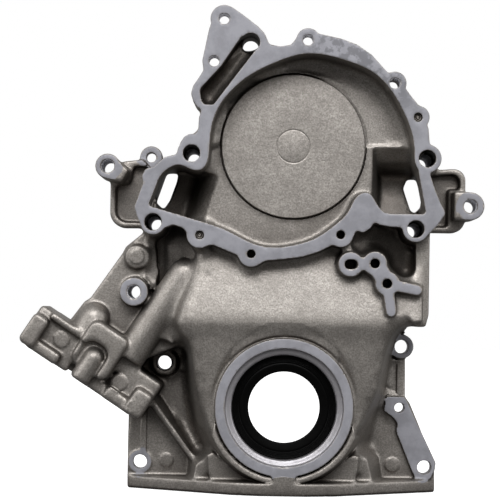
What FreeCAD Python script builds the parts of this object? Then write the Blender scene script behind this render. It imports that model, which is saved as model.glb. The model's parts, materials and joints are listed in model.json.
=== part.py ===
import FreeCAD, Part
import math
import os

from FreeCAD import Vector

# Engine timing cover: one die casting with the water pump volute at the top, the oil
# pump body and its drive tube at the lower left, the fuel pump box at the right and
# the crank seal boss in the middle, with a lip seal pressed into that boss.
#
# The casting is drawn in plan, as seen from the front: x to the right, y up and h
# forward from the engine block, with the crank axis at x = y = 0 and the block face
# at h = 0.  At the end everything is turned once, so that x stays, y becomes Z and
# h becomes -Y.  All lengths are in millimetres.

# Heights above the block face
PUMP_FACE_H = 82.0
PUMP_EAR_T = 18.0
CASE_TOP_H = 64.0
CASE_RIDGE_H = 73.0
CASE_RIDGE_Y = 68.0
CASE_LOW_H = 65.5
SEAL_FACE_H = 70.0
BLOCK_FLANGE_T = 12.0
BANK_H = 44.0

# Crank seal boss
SEAL_BOSS_R = 56.0
SEAL_RECESS_R = 66.0
SEAL_STEP_R = 48.0
SEAL_STEP_T = 3.5
SEAL_BORE_R = 42.5
SEAL_BORE_DEPTH = 20.0
SEAL_SHOULDER_R = 37.0
SKIRT_R = 60.0
SKIRT_ROOT_R = 83.0

# Lip seal
SEAL_SETBACK = 9.0
SEAL_WIDTH = 9.5
SEAL_SHELL_T = 1.2
LIP_R = 29.0
LIP_T = 2.2
SPRING_R = 0.9

# Water pump volute
PUMP_AXIS = (4.5, 212.5)
VOLUTE_R = 66.5
SCROLL_R = 98.5
LOWER_SCROLL_R = 90.0
FLANGE_W = 10.5
PAD_R = 58.5
PAD_H = 54.0
PAD_MARK_R = 13.5
PAD_GROOVE_W = 1.2
RING_H = 51.0
RING_FILLET = 5.0
SCROLL_H = 49.5
LEFT_FLOOR_H = 14.0
RIGHT_FLOOR_H = 12.0
PORT_WALL_H = 50.0

# Water pump flange: x, y and boss radius of each screw place
CLEAR_SCREWS = [(-53.0, 311.5, 11.0), (-60.5, 277.5, 9.5), (14.5, 295.5, 9.5), (84.5, 262.0, 9.3)]
TAPPED_SCREWS = [(103.5, 235.0, 9.2), (-70.0, 138.0, 10.5), (43.0, 140.0, 10.0), (-28.5, 123.5, 10.5)]
LONG_BOLTS = [(-77.5, 203.5, 11.5), (-107.5, 148.0, 10.2), (111.5, 202.0, 11.3), (103.0, 145.5, 10.5)]
CLEAR_SCREW_R = 4.4
CLEAR_SCREW_RELIEF_R = 6.0
TAPPED_SCREW_R = 3.45
TAPPED_SCREW_DEPTH = 22.0
LONG_BOLT_R = 5.6
LONG_BOLT_MOUTH_R = 6.9
LONG_BOLT_MOUTH_DEPTH = 26.0

# Slanted pocket in the top left ear of the pump flange
POCKET_TOP = (-31.5, 293.0)
POCKET_TOP_R = 7.5
POCKET_LOW = (-65.0, 250.5)
POCKET_LOW_R = 6.5
POCKET_DEPTH = 20.0
POCKET_BACK_H = 38.0
POCKET_WALL = 6.0

# Columns and ears that take bolts into the block: x, y, outer radius, hole radius, height
LEFT_EAR = (-147.5, 195.0, 10.2, 5.6, 44.0)
RIGHT_EAR = (151.8, 167.0, 11.5, 5.6, 36.0)
LEFT_TAB = (-113.5, 205.0, 9.5, 4.0, 12.0)
WING_H = 18.0
WING_POCKET_T = 9.0
BANK_COLUMN = (-123.5, 92.0, 11.5, 5.6, 59.0)
BANK_MARK = (-122.0, 120.7, 10.0, 5.8, 49.0)
LOW_COLUMN = (-99.5, 33.7, 11.2, 5.8, 20.0)
LOW_LEFT_HOLE = (-119.0, -49.5, 9.4, 5.8, 13.0)
RIGHT_COLUMN = (98.0, 50.0, 10.0, 5.7, 18.0)
PAD_TOP_HOLE = (97.0, -1.0, 9.0, 4.0, 16.0)
PAD_LOW_HOLE = (118.5, -50.5, 9.3, 5.7, 16.0)

# Oil pump body, in its own directions: u along the drive shaft, v across it
OIL_ORIGIN = (-118.0, -11.5)
OIL_DIRECTION_DEG = 57.0
OIL_FACE_U = -2.0
OIL_SHAFT_V = -35.0
OIL_SHAFT_H = 30.0
OIL_SHAFT_R = 7.0
OIL_GEAR_R = 17.0
OIL_GEAR_SPACING = 29.0
OIL_GEAR_DEPTH = 24.0
OIL_BODY_H = 54.0
OIL_PLATE_H = 50.0
OIL_LUG_H = 61.0
OIL_BLOCK_H = 66.0
OIL_BODY_BOTTOM_H = 6.0
OIL_BAR_R = 8.4
OIL_BAR_V = -58.0
TUBE_R = 13.0
TUBE_AXIS_H = 48.0
TUBE_END_U = 119.0
STUB_R = 12.5
STUB_V = -76.5
SADDLE_H = 53.0

# Fuel pump box
FUEL_FACE_X = 116.0
FUEL_TOP_H = 66.0
FUEL_LOW_H = 46.0
FUEL_BORE_R = 15.0
FUEL_BORE_LENGTH = 58.0
FUEL_AXIS = (104.0, 27.0)
FUEL_SCREW_SPREAD = 46.0
FUEL_SCREW_R = 4.0

# Three-hole oil pad on the case front: x, y, disc radius
OIL_PAD_H = 79.0
OIL_PAD_DISCS = [(51.5, 116.5, 9.9), (71.0, 117.5, 9.5), (81.0, 101.5, 9.6)]
OIL_PAD_HOLE_R = 3.8
OIL_PAD_HOLE_DEPTH = 30.0
OIL_PAD_SLOT = 2.2
OIL_PAD_FINGERS = [(105.0, 96.5), (84.5, 79.0)]
OIL_PAD_FINGER_R = 4.0
OIL_PAD_DRAFT = 0.14

# Chain space behind the cover
CHAIN_CRANK_R = 47.0
CHAIN_CAM = (0.0, 126.0)
CHAIN_CAM_R = 60.0
CHAIN_DEPTH = 44.0
CHAIN_FRONT_DEPTH = 56.5
CHAIN_CAM_DEPTH = 14.0

# Oil pan rail
RAIL_Y = -71.5
RAIL_T = 10.5
RAIL_LEFT = -129.5
RAIL_RIGHT = 127.8
RAIL_NOSE_H = 70.0
RAIL_NOSE_HALF = 42.0

# Small forms
REAR_WALL = 7.0
MARK_T = 0.8
BOSS_DRAFT = 0.05


def on_plan(x, y, h=0.0):
    """A point of the plan, raised to height h."""
    return Vector(x, y, h)


def flat(edges):
    """The flat face inside a closed run of edges, facing forward."""
    wire = Part.Wire(edges)
    face = Part.Face(wire)
    if face.normalAt(0, 0).z < 0:
        face = Part.Face(wire.reversed())
    return face


def disc(x, y, radius):
    """A flat round face in the plan."""
    return flat([Part.makeCircle(radius, on_plan(x, y))])


def area(points):
    """A flat face bounded by straight lines through the points."""
    corners = [on_plan(x, y) for x, y in points]
    return flat(Part.makePolygon(corners + corners[:1]).Edges)


def smooth_area(runs):
    """A flat face whose outline runs smoothly through each list of points, with corners between the lists."""
    edges = []
    for i, run in enumerate(runs):
        points = [on_plan(*point) for point in run + runs[(i + 1) % len(runs)][:1]]
        if len(points) == 2:
            edges.append(Part.makeLine(points[0], points[1]))
        else:
            curve = Part.BSplineCurve()
            curve.interpolate(points)
            edges.append(curve.toShape())
    return flat(edges)


def rounded_area(points, radius):
    """A flat face with straight sides and rounded corners; a third value is a corner's own radius."""
    edges = []
    count = len(points)
    starts = []
    ends = []
    middles = []
    for i in range(count):
        corner = on_plan(*points[i][:2])
        bend = points[i][2] if len(points[i]) > 2 else radius
        before = (on_plan(*points[i - 1][:2]) - corner).normalize()
        after = (on_plan(*points[(i + 1) % count][:2]) - corner).normalize()
        half = before.getAngle(after) / 2.0
        reach = bend / math.tan(half)
        bisector = (before + after).normalize()
        starts.append(corner + before * reach)
        ends.append(corner + after * reach)
        middles.append(corner + bisector * (bend / math.sin(half) - bend))
    for i in range(count):
        edges.append(Part.Arc(starts[i], middles[i], ends[i]).toShape())
        edges.append(Part.makeLine(ends[i], starts[(i + 1) % count]))
    return flat(edges)


def strap(a, a_radius, b, b_radius):
    """A flat face round two circles and the lines that touch them both."""
    start = on_plan(*a)
    end = on_plan(*b)
    along = end - start
    heading = math.atan2(along.y, along.x)
    lean = math.acos((a_radius - b_radius) / along.Length)

    def rim(centre, radius, angle):
        return centre + Vector(math.cos(angle), math.sin(angle), 0) * radius

    a_left = rim(start, a_radius, heading + lean)
    a_right = rim(start, a_radius, heading - lean)
    b_left = rim(end, b_radius, heading + lean)
    b_right = rim(end, b_radius, heading - lean)
    edges = [
        Part.Arc(a_left, rim(start, a_radius, heading + math.pi), a_right).toShape(),
        Part.makeLine(a_right, b_right),
        Part.Arc(b_right, rim(end, b_radius, heading), b_left).toShape(),
        Part.makeLine(b_left, a_left),
    ]
    return flat(edges)


def joined(faces):
    """One flat face that covers all the given ones."""
    whole = faces[0].multiFuse(faces[1:]).removeSplitter()
    if len(whole.Faces) > 1:
        print("outline in", len(whole.Faces), "pieces")
    return max(whole.Faces, key=lambda face: face.Area)


def raised(face, low, high):
    """The solid over a plan face, from height low to height high."""
    lifted = face.copy()
    lifted.translate(Vector(0, 0, low))
    return lifted.extrude(Vector(0, 0, high - low))


def tapered(low_points, low, high_points, high, radius):
    """A solid whose straight-sided outline changes from one height to the other."""
    bottom = rounded_area(low_points, radius).OuterWire
    top = rounded_area(high_points, radius).OuterWire
    bottom.translate(Vector(0, 0, low))
    top.translate(Vector(0, 0, high))
    return Part.makeLoft([bottom, top], True, True)


def drafted_post(x, y, radius, low, high, draft=0.05):
    """A round boss that widens a little towards its root."""
    root = radius + (high - low) * draft
    return Part.makeCone(root, radius, high - low, on_plan(x, y, low))


def fuse(solids):
    """All the solids as one."""
    return solids[0].multiFuse(solids[1:]).removeSplitter()


def scroll_sector(start_deg, start_r, end_deg, end_r, steps=8):
    """A sector about the pump axis whose radius grows evenly with the angle."""
    centre = on_plan(*PUMP_AXIS)
    rim = []
    for i in range(steps + 1):
        share = i / steps
        angle = math.radians(start_deg + (end_deg - start_deg) * share)
        radius = start_r + (end_r - start_r) * share
        rim.append(centre + Vector(math.cos(angle), math.sin(angle), 0) * radius)
    curve = Part.BSplineCurve()
    curve.interpolate(rim)
    edges = [Part.makeLine(centre, rim[0]), curve.toShape(), Part.makeLine(rim[-1], centre)]
    return flat(edges)


def volute_plan(grow):
    """The volute opening in plan, grown outwards by a width."""
    right_outlet = [(55, 205), (101 + grow, 205), (105.5 + grow, 182), (110 + grow, 157.5 - grow),
                    (86, 157 - grow), (76 + grow / 2, 159.5 - grow), (66, 173 - grow), (60, 180)]
    left_outlet = [(-50, 143 - grow), (-111.5 - grow, 161 - grow / 2), (-102.5 - grow, 187),
                   (-97, 192.5 + grow / 2), (-60, 193 + grow / 2), (-30, 165)]
    parts = [
        disc(*PUMP_AXIS, VOLUTE_R + grow),
        scroll_sector(-10, SCROLL_R + grow, 105, VOLUTE_R + grow),
        scroll_sector(-131, LOWER_SCROLL_R + grow, -36, VOLUTE_R + grow),
        area(right_outlet),
        area(left_outlet),
    ]
    return joined(parts)


def volute_opening():
    """The opening of the volute at the pump flange, with its tongue at the lower right."""
    left_side = [(-111.5, 161)]
    crown = [(-104.5, 179.5), (-102, 185), (-95, 191.5), (-87, 194), (-77.5, 190.5), (-70.5, 190), (-66, 194),
             (-63.5, 204.5), (-62.5, 220), (-58.5, 236), (-46, 254.5), (-31, 267), (-10.5, 277.5), (10, 284),
             (26, 284), (43.5, 280), (69.5, 268.5), (87.5, 247), (98, 224), (100.8, 209.5), (101.2, 200)]
    right_side = [(104, 193.5)]
    below_port = [(111, 157.5)]
    lower_side = [(82, 157.5), (74.5, 161), (69.5, 168.5), (65, 173.5), (60, 173.7), (54, 169), (49, 159),
                  (38, 147.5), (22, 136.5), (5, 131), (-12.5, 129), (-30, 133), (-44, 140), (-56, 145)]
    bottom_left = [(-66, 148)]
    return smooth_area([left_side, crown, right_side, below_port, lower_side, bottom_left])


def flange_outline():
    """The outer edge of the machined water pump flange."""
    edge = rounded_area([
        (-16.5, 291.5), (-7.5, 290), (1, 291.5), (8, 301), (24, 300.5), (41, 297), (53.5, 292.5), (65.5, 284.5),
        (78, 271), (90, 262), (97.5, 252), (105, 243), (112, 226), (113, 215), (113.5, 190), (117.5, 178.5),
        (122.5, 166.5), (126.8, 158.5, 4.0), (121, 149.5), (112, 140), (97, 141), (91, 146.7), (82, 147),
        (74, 148.5), (69.8, 150.7), (66.5, 145.5), (60.5, 141.5, 4.0), (55.5, 144.2), (52, 136), (46, 131),
        (36, 131.5), (25.5, 126), (13, 122), (0, 120), (-17, 118.2), (-24, 114), (-33, 114.5), (-38.5, 122),
        (-51, 127), (-59.5, 130.5), (-66, 129), (-78, 132), (-80.5, 140), (-83.5, 143.7, 5.0), (-91.5, 146),
        (-98, 143.5), (-104, 139.5), (-116, 143), (-120.5, 152.5), (-122.7, 159.5), (-115.8, 179), (-117, 184.5),
        (-114, 190.2), (-107.5, 192), (-99, 200), (-89, 202.5), (-86.5, 212), (-83.5, 216.5), (-80, 218.7),
        (-74, 219), (-72.3, 224), (-72, 232), (-70, 238), (-74, 241), (-77, 245.5), (-78.7, 251, 5.0),
        (-77, 257.5), (-72.5, 264), (-69, 270), (-70, 278), (-65, 303), (-60, 318), (-47, 321), (-37.5, 314.5),
        (-25.5, 305.5), (-20.3, 300, 5.0)], 1.8)
    bosses = [disc(x, y, r) for x, y, r in TAPPED_SCREWS + LONG_BOLTS + CLEAR_SCREWS]
    return joined([edge] + bosses)


def pump_housing():
    """The volute walls, the thin ears at the top and the columns of the long bolts."""
    rim = flange_outline()
    walls = raised(volute_plan(FLANGE_W - 1.0).common(rim), 0.0, PUMP_FACE_H)
    ears = raised(rim, PUMP_FACE_H - PUMP_EAR_T, PUMP_FACE_H)
    pocket_wall = strap(POCKET_TOP, POCKET_TOP_R + POCKET_WALL, POCKET_LOW, POCKET_LOW_R + POCKET_WALL)
    solids = [walls, ears, raised(pocket_wall.common(rim), POCKET_BACK_H, PUMP_FACE_H)]
    for x, y, radius in LONG_BOLTS + TAPPED_SCREWS[1:]:
        solids.append(drafted_post(x, y, radius - 0.6, 0.0, PUMP_FACE_H - 1.0, BOSS_DRAFT))
    return fuse(solids)


def sloping_space(face, start, heading_deg, floor):
    """The space over a floor whose height changes along one heading; floor lists (distance, height)."""
    heading = math.radians(heading_deg)
    along = Vector(math.cos(heading), math.sin(heading), 0)
    across = Vector(-along.y, along.x, 0) * 300.0
    top = PUMP_FACE_H + 1.0
    curve = Part.BSplineCurve()
    curve.interpolate([on_plan(*start) + along * s + Vector(0, 0, h) for s, h in floor])
    ends = [on_plan(*start) + along * floor[i][0] + Vector(0, 0, top) for i in (-1, 0)]
    edges = [curve.toShape(), Part.makeLine(curve.EndPoint, ends[0]), Part.makeLine(ends[0], ends[1]),
             Part.makeLine(ends[1], curve.StartPoint)]
    side = Part.Face(Part.Wire(edges))
    side.translate(across * -1.0)
    return raised(face, 5.0, top).common(side.extrude(across * 2.0))


def volute_space():
    """What is hollowed out of the pump housing from the front."""
    opening = volute_opening()
    top = PUMP_FACE_H + 1.0
    chamber = raised(opening, RING_H, top)
    bottom = [edge for edge in chamber.Edges if edge.BoundBox.ZMax < RING_H + 0.01]
    chamber = chamber.makeFillet(RING_FILLET, bottom)
    x, y = PUMP_AXIS
    chamber = chamber.cut(raised(disc(x, y, PAD_R), RING_H - 1.0, PAD_H))
    scroll = scroll_sector(1, SCROLL_R - 8, 80, VOLUTE_R + 1).cut(disc(x, y, PAD_R + PAD_GROOVE_W))
    left_port = area([(-130, 205), (-82, 205), (-70.5, 191.5), (-48, 185.8), (-30, 165), (-20, 120), (-130, 120)])
    right_port = area([(69, 212.5), (130, 212.5), (130, 150), (69, 150)])
    left_floor = [(-8, RING_H + 4), (0, RING_H - 1), (6, RING_H - 6), (10.5, 36), (14, 24),
                  (18, LEFT_FLOOR_H + 2), (24, LEFT_FLOOR_H), (34, LEFT_FLOOR_H), (70, LEFT_FLOOR_H)]
    right_floor = [(-6, RING_H + 4), (0, RING_H - 1), (7, 44), (11.5, 39.5), (14.5, 33), (17, 22),
                   (20, RIGHT_FLOOR_H + 2), (25, RIGHT_FLOOR_H), (35, RIGHT_FLOOR_H), (80, RIGHT_FLOOR_H)]
    right_side = [(-2, RING_H + 6), (0, RING_H + 1), (3, 45), (5.5, 30), (8, 16), (12, RIGHT_FLOOR_H - 3),
                  (20, RIGHT_FLOOR_H - 4), (70, RIGHT_FLOOR_H - 4)]
    falling = sloping_space(opening.common(right_port), (69, 212.5), -90, right_floor)
    hollows = [
        chamber,
        raised(scroll, SCROLL_H, RING_H + 2.0),
        sloping_space(opening.common(left_port), (-60, 179.5), 164, left_floor),
        falling.common(sloping_space(right_port, (69, 212.5), 0, right_side)),
        raised(disc(x, y, PAD_R + PAD_GROOVE_W).cut(disc(x, y, PAD_R)), RING_H - 1.0, top),
    ]
    mark = disc(x, y, PAD_MARK_R).cut(disc(x, y, PAD_MARK_R - 1.0))
    hollows.append(raised(mark, PAD_H - MARK_T, top))
    return hollows


def coolant_ports():
    """The two passages from the volute through to the block."""
    right = [(101.0, 190.0), (109.0, 190.5), (113.5, 174.5), (113.0, 167.0), (107.5, 161.5),
             (104.0, 163.5), (98.0, 182.5)]
    left = [(-100.5, 192.0), (-90.5, 192.5), (-92.0, 184.5), (-97.5, 169.0), (-102.5, 161.5),
            (-109.0, 167.5)]
    return [raised(area(right), -1.0, PORT_WALL_H), raised(area(left), -1.0, PORT_WALL_H)]


def case_shell():
    """The closed front of the chain case with its sloping walls and the recess at its upper right."""
    front = [(-60, 168), (-72, 122), (-72.5, 107), (-83, 83), (-88, 68), (-84, 60), (-76, 52), (-72.5, 33),
             (-66, 5), (-59, -16), (-46, -36), (46, -36), (61, -12), (73, 16), (80, 47), (84, 58), (90, 66),
             (99, 70), (110, 70.5), (110, 168)]
    root = [(-66, 168), (-78, 122), (-83, 107), (-97, 83), (-98, 66), (-92, 56), (-86, 47), (-85, 30),
            (-82, 2), (-77, -20), (-60, -48), (60, -48), (77, -18), (87, 10), (92, 42), (95, 55), (99, 62),
            (104, 66.5), (111, 67), (111, 168)]
    body = tapered(root, 0.0, front, CASE_RIDGE_H + 3.0, 3.0)
    ridge = CASE_RIDGE_Y
    profile = [(-90, 0), (-90, CASE_LOW_H - 3), (0, CASE_LOW_H), (ridge - 10, CASE_RIDGE_H - 2),
               (ridge - 2, CASE_RIDGE_H), (ridge + 4, CASE_RIDGE_H), (130, CASE_TOP_H), (180, CASE_TOP_H - 4),
               (180, 0)]
    corners = [Vector(-200, y, h) for y, h in profile]
    side = Part.Face(Part.makePolygon(corners + corners[:1]))
    body = body.common(side.extrude(Vector(400, 0, 0)))
    bowl = rounded_area([(54, 127), (54, 152), (104.5, 152), (104.5, 107), (91, 107), (80, 119.5), (62, 124)], 3.0)
    bowl_floor = [(-5, 70), (0, 66), (10, 60), (20, 53), (32, 48.5), (45, FUEL_LOW_H), (80, FUEL_LOW_H)]
    body = body.cut(sloping_space(bowl, (54, 138), -26, bowl_floor))
    hollow_ring = Part.makeCone(SEAL_BOSS_R + 1.0, SEAL_RECESS_R + 4.0, 10.0, on_plan(0, 0, CASE_LOW_H - 1.0))
    return body.cut(hollow_ring)


def seal_boss():
    """The round boss of the crank seal, on a skirt that spreads towards the block."""
    boss = Part.makeCone(SEAL_BOSS_R + 1.5, SEAL_BOSS_R, SEAL_FACE_H - BLOCK_FLANGE_T, Vector(0, 0, BLOCK_FLANGE_T))
    skirt = Part.makeCone(SKIRT_ROOT_R, SKIRT_R, CASE_LOW_H - 4.0, Vector(0, 0, 0))
    front_wall = raised(area([(-58, RAIL_Y), (-62, -40), (62, -40), (58, RAIL_Y)]), 0.0, RAIL_NOSE_H - 18.0)
    below_rail = Part.makeBox(300, 100, 200, Vector(-150, RAIL_Y - 100, -50))
    return fuse([boss, skirt, front_wall]).cut(below_rail)


def pan_rail():
    """The flange for the oil pan: flat below, bowed forward in the middle."""
    nose = RAIL_NOSE_HALF
    outline = [(RAIL_LEFT, 0), (RAIL_LEFT, BLOCK_FLANGE_T), (-nose, RAIL_NOSE_H - 6), (-18, RAIL_NOSE_H),
               (18, RAIL_NOSE_H), (nose, RAIL_NOSE_H - 6), (RAIL_RIGHT, BLOCK_FLANGE_T), (RAIL_RIGHT, 0)]
    corners = [Vector(x, RAIL_Y, h) for x, h in outline]
    face = Part.Face(Part.makePolygon(corners + corners[:1]))
    rail = face.extrude(Vector(0, RAIL_T, 0))
    lug = Part.makeBox(19.0, 18.0, RAIL_NOSE_H, Vector(-9.0, RAIL_Y, 0))
    return [rail, lug]


def gussets():
    """The four-sided webs that tie the seal boss skirt to the pan rail."""
    left = tapered([(-82, -66), (-80, -40), (-58, -30), (-40, -66)], 0.0,
                   [(-74, -64), (-71, -49), (-63, -42), (-50, -62)], 44.0, 1.0)
    right = tapered([(44, -66), (46, -40), (68, -26), (84, -40), (88, -66)], 0.0,
                    [(50, -64), (52, -50), (63, -38), (69, -42), (74, -62)], 44.0, 1.0)
    return [left, right]


def block_flange():
    """The thin plates that lie on the block beside the case."""
    left = area([(RAIL_LEFT, RAIL_Y), (RAIL_LEFT, 12), (-122, 60), (-60, 60), (-60, RAIL_Y)])
    right = area([(60, RAIL_Y), (60, 60), (101.5, 60), (102, 8), (106, 3), (127.5, -47), (RAIL_RIGHT, RAIL_Y)])
    return [raised(left, 0.0, BLOCK_FLANGE_T), raised(right, 0.0, BLOCK_FLANGE_T)]


def columns():
    """Round columns of the block bolts that stand outside the pump flange."""
    solids = []
    for x, y, radius, hole, high in [BANK_COLUMN, BANK_MARK, LOW_COLUMN, LOW_LEFT_HOLE, RIGHT_COLUMN]:
        solids.append(drafted_post(x, y, radius, 0.0, high, 0.03))
    return solids


def machined_side_pad():
    """The long pad at the lower right with a hole at each end."""
    outline = rounded_area([(83.5, 7.0), (102, 7.6), (128.5, -47), (124.5, -60), (111, -60), (95.5, -14),
                            (90, -6)], 2.0)
    end = disc(*PAD_LOW_HOLE[:2], PAD_LOW_HOLE[2])
    return raised(joined([outline, end]), 0.0, PAD_LOW_HOLE[4])


def left_ear():
    """The upper left ear on its column, with its recessed wing."""
    x, y, radius, hole, high = LEFT_EAR
    arm = area([(x + 4, y + 9), (-134.3, 195.5), (-129.5, 192.0), (-136.0, 181.8), (x - 3, y - 9.8)])
    column = raised(joined([disc(x, y, radius), arm]), 0.0, high)
    wing = rounded_area([(-137, 201), (-120, 203), (-105, 185), (-108, 146), (-147, 145.5, 13.0),
                         (-147, 184)], 4.0)
    tab = raised(disc(*LEFT_TAB[:2], LEFT_TAB[2]), 0.0, LEFT_TAB[4])
    return [column, raised(wing, 0.0, WING_H), tab]


def left_wing_pocket():
    """The recess inside the left wing's rim."""
    inner = rounded_area([(-127.5, 197), (-116, 197), (-109, 186), (-112, 150.5), (-142.2, 150.5, 9.0),
                          (-142.2, 180.5), (-131, 183)], 2.5)
    return raised(inner, WING_H - WING_POCKET_T, LEFT_EAR[4] + 1.0)


def right_ear():
    """The right ear with its square-cut pad and its rimmed wing."""
    x, y, radius, hole, high = RIGHT_EAR
    pad = rounded_area([(137.8, 178.9), (156, 178.9, 8.0), (158, 155.6, 8.0), (137.8, 155.6)], 1.5)
    top = joined([pad, disc(x, y, radius)])
    wing = rounded_area([(112, 197), (149.5, 199.8, 10.0), (149.3, 145.6, 11.0), (112, 145.6)], 4.0)
    return [raised(top, 0.0, high), raised(wing, 0.0, WING_H)]


def right_wing_pocket():
    """The recess inside the right wing's rim."""
    inner = rounded_area([(114, 192), (144.5, 195, 7.0), (144.5, 181.5), (134.8, 181.5), (134.8, 150.5),
                          (114, 150.5)], 2.0)
    return raised(inner, WING_H - WING_POCKET_T, RIGHT_EAR[4] + 1.0)


def left_bank():
    """The web between the long bolt at the left, the bank column and the oil pump, with its deep recess."""
    plate = area([(-117, 141), (-131.5, 129), (-134, 124), (-160, 86.5), (-165, 83.5), (-178, 66),
                  (-130, 30), (-60, 60), (-56, 122), (-60, 150), (-100, 150)])
    recess = rounded_area([(-114, 137), (-106.5, 128), (-105.5, 116), (-108, 106), (-114, 95), (-100, 92),
                           (-72, 118), (-72, 146), (-100, 147)], 3.0)
    recess_floor = [(-12, 18), (-2, 18), (8, 22), (18, 33), (26, 44), (34, 54), (45, 60)]
    return raised(plate, 0.0, BANK_H).cut(sloping_space(recess, (-106, 120), 0, recess_floor))


def along_oil_shaft(solid):
    """Turns a solid drawn with u as x and v as -y into the oil pump's directions."""
    turned = solid.copy()
    turned.rotate(Vector(0, 0, 0), Vector(0, 0, 1), OIL_DIRECTION_DEG)
    turned.translate(on_plan(*OIL_ORIGIN))
    return turned


def oil_box(u_low, u_high, v_low, v_high, low, high, radius=2.5):
    """An upright block of the oil pump body, with rounded upright edges."""
    face = rounded_area([(u_low, -v_high), (u_high, -v_high), (u_high, -v_low), (u_low, -v_low)], radius)
    return along_oil_shaft(raised(face, low, high))


def oil_rod(u_low, u_high, v, h, radius):
    """A round bar parallel to the oil pump's drive shaft."""
    rod = Part.makeCylinder(radius, u_high - u_low, Vector(u_low, -v, h), Vector(1, 0, 0))
    return along_oil_shaft(rod)


def oil_pump_body():
    """The oil pump housing with its two end lugs, its rims, its raised block and the drive tube."""
    face = OIL_FACE_U
    low = OIL_BODY_BOTTOM_H
    plate = OIL_PLATE_H
    top = OIL_BLOCK_H
    block = oil_box(9.0, 49.0, -74.8, -40.0, low, top, 7.0)
    trench = oil_box(-10.0, 33.5, -70.6, -48.2, top - 8.0, top + 5.0, 9.0)
    end_of_tube = Part.makeSphere(TUBE_R, Vector(TUBE_END_U, -OIL_SHAFT_V, TUBE_AXIS_H))
    end_of_stub = Part.makeSphere(STUB_R, Vector(47.5, -STUB_V, TUBE_AXIS_H - 4.0))
    end_of_bar = Part.makeSphere(OIL_BAR_R, Vector(21.0, -OIL_BAR_V, top - OIL_BAR_R))
    return [
        oil_box(face, 33.5, -117.8, 0.5, low, plate),
        oil_box(face, 30.0, -90.0, -18.0, low, plate + 3.0, 1.0).cut(oil_box(face - 3, 30.5, -83.5, -66.5, plate, top))
        .cut(oil_box(7.8, 40.0, -104.0, -15.0, plate, top)),
        oil_box(face, 7.8, -110.0, -81.0, low, OIL_LUG_H - 4.0, 1.5),
        oil_box(face, 9.0, -35.5, -8.0, low, OIL_LUG_H - 5.0, 1.5),
        oil_box(27.5, 33.8, -106.5, -70.0, low, OIL_LUG_H - 4.0, 2.5),
        oil_box(face + 1.0, 26.0, -118.0, -104.0, low, OIL_LUG_H, 4.0),
        oil_box(face + 1.0, 21.8, -15.5, 0.5, low, OIL_LUG_H - 2.0, 4.0),
        oil_box(30.0, 56.0, -89.0, -46.0, low, BANK_H - 2.0, 8.0),
        block.cut(trench),
        oil_rod(face + 1.0, 21.0, OIL_BAR_V, top - OIL_BAR_R, OIL_BAR_R),
        along_oil_shaft(end_of_bar),
        oil_rod(28.0, 47.5, STUB_V, TUBE_AXIS_H - 4.0, STUB_R),
        along_oil_shaft(end_of_stub),
        oil_rod(35.5, TUBE_END_U, OIL_SHAFT_V, TUBE_AXIS_H, TUBE_R),
        along_oil_shaft(end_of_tube),
        oil_box(35.5, 112.0, -47.5, -23.0, low, TUBE_AXIS_H, 2.0),
        oil_box(66.0, 112.0, -40.0, -10.0, low, SADDLE_H, 2.0),
    ]


def oil_pump_hollows():
    """The two gear chambers, the drive shaft bore and the cover screw holes."""
    face = OIL_FACE_U
    gears_end = face + OIL_GEAR_DEPTH
    driven_v = OIL_SHAFT_V - OIL_GEAR_SPACING
    hollows = [
        oil_rod(face - 1, gears_end, OIL_SHAFT_V, OIL_SHAFT_H, OIL_GEAR_R),
        oil_rod(face - 1, gears_end, driven_v, OIL_SHAFT_H, OIL_GEAR_R),
        oil_rod(face - 1, 128.0, OIL_SHAFT_V, OIL_SHAFT_H, OIL_SHAFT_R),
        oil_rod(face - 1, gears_end + 12, driven_v, OIL_SHAFT_H, OIL_SHAFT_R),
    ]
    for v in (-110.0, -6.0):
        hollows.append(oil_rod(face - 1, 18.0, v, OIL_SHAFT_H, TAPPED_SCREW_R))
    return hollows


def fuel_pump_box():
    """The rim at the right side of the case that carries the fuel pump on its side face."""
    right = FUEL_FACE_X
    strip = area([(104.5, 67), (right - 2.5, 67.0), (right, 77), (right, 146), (104.5, 146)])
    return [raised(strip, 0.0, FUEL_TOP_H)]


def fuel_pump_hollows():
    """The bore for the pump arm and the two screw holes beside it."""
    y, h = FUEL_AXIS
    toward = Vector(1, 0, 0)
    bore = Part.makeCylinder(FUEL_BORE_R, FUEL_BORE_LENGTH + 1, Vector(FUEL_FACE_X - FUEL_BORE_LENGTH, y, h), toward)
    hollows = [bore]
    for side in (-1, 1):
        place = Vector(FUEL_FACE_X - 16, y + side * FUEL_SCREW_SPREAD / 2, h)
        hollows.append(Part.makeCylinder(FUEL_SCREW_R, 20, place, toward))
    return hollows


def oil_pad():
    """The machined pad of three joined discs with two fingers, wider at its root."""
    high = OIL_PAD_H
    root = high - 18.0
    first, second, third = OIL_PAD_DISCS
    arms = [(first[:2], 5.0, second[:2], 5.01), (second[:2], 7.0, third[:2], 7.01)]
    for tip in OIL_PAD_FINGERS:
        arms.append((third[:2], OIL_PAD_FINGER_R + 0.4, tip, OIL_PAD_FINGER_R))
    solids = [drafted_post(*place, FUEL_LOW_H, high, OIL_PAD_DRAFT) for place in OIL_PAD_DISCS]
    for a, a_radius, b, b_radius in arms:
        spread = (high - root) * OIL_PAD_DRAFT
        bottom = strap(a, a_radius + spread, b, b_radius + spread).OuterWire
        rim = strap(a, a_radius, b, b_radius).OuterWire
        bottom.translate(Vector(0, 0, root))
        rim.translate(Vector(0, 0, high))
        solids.append(Part.makeLoft([bottom, rim], True, True))
    return fuse(solids)


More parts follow.
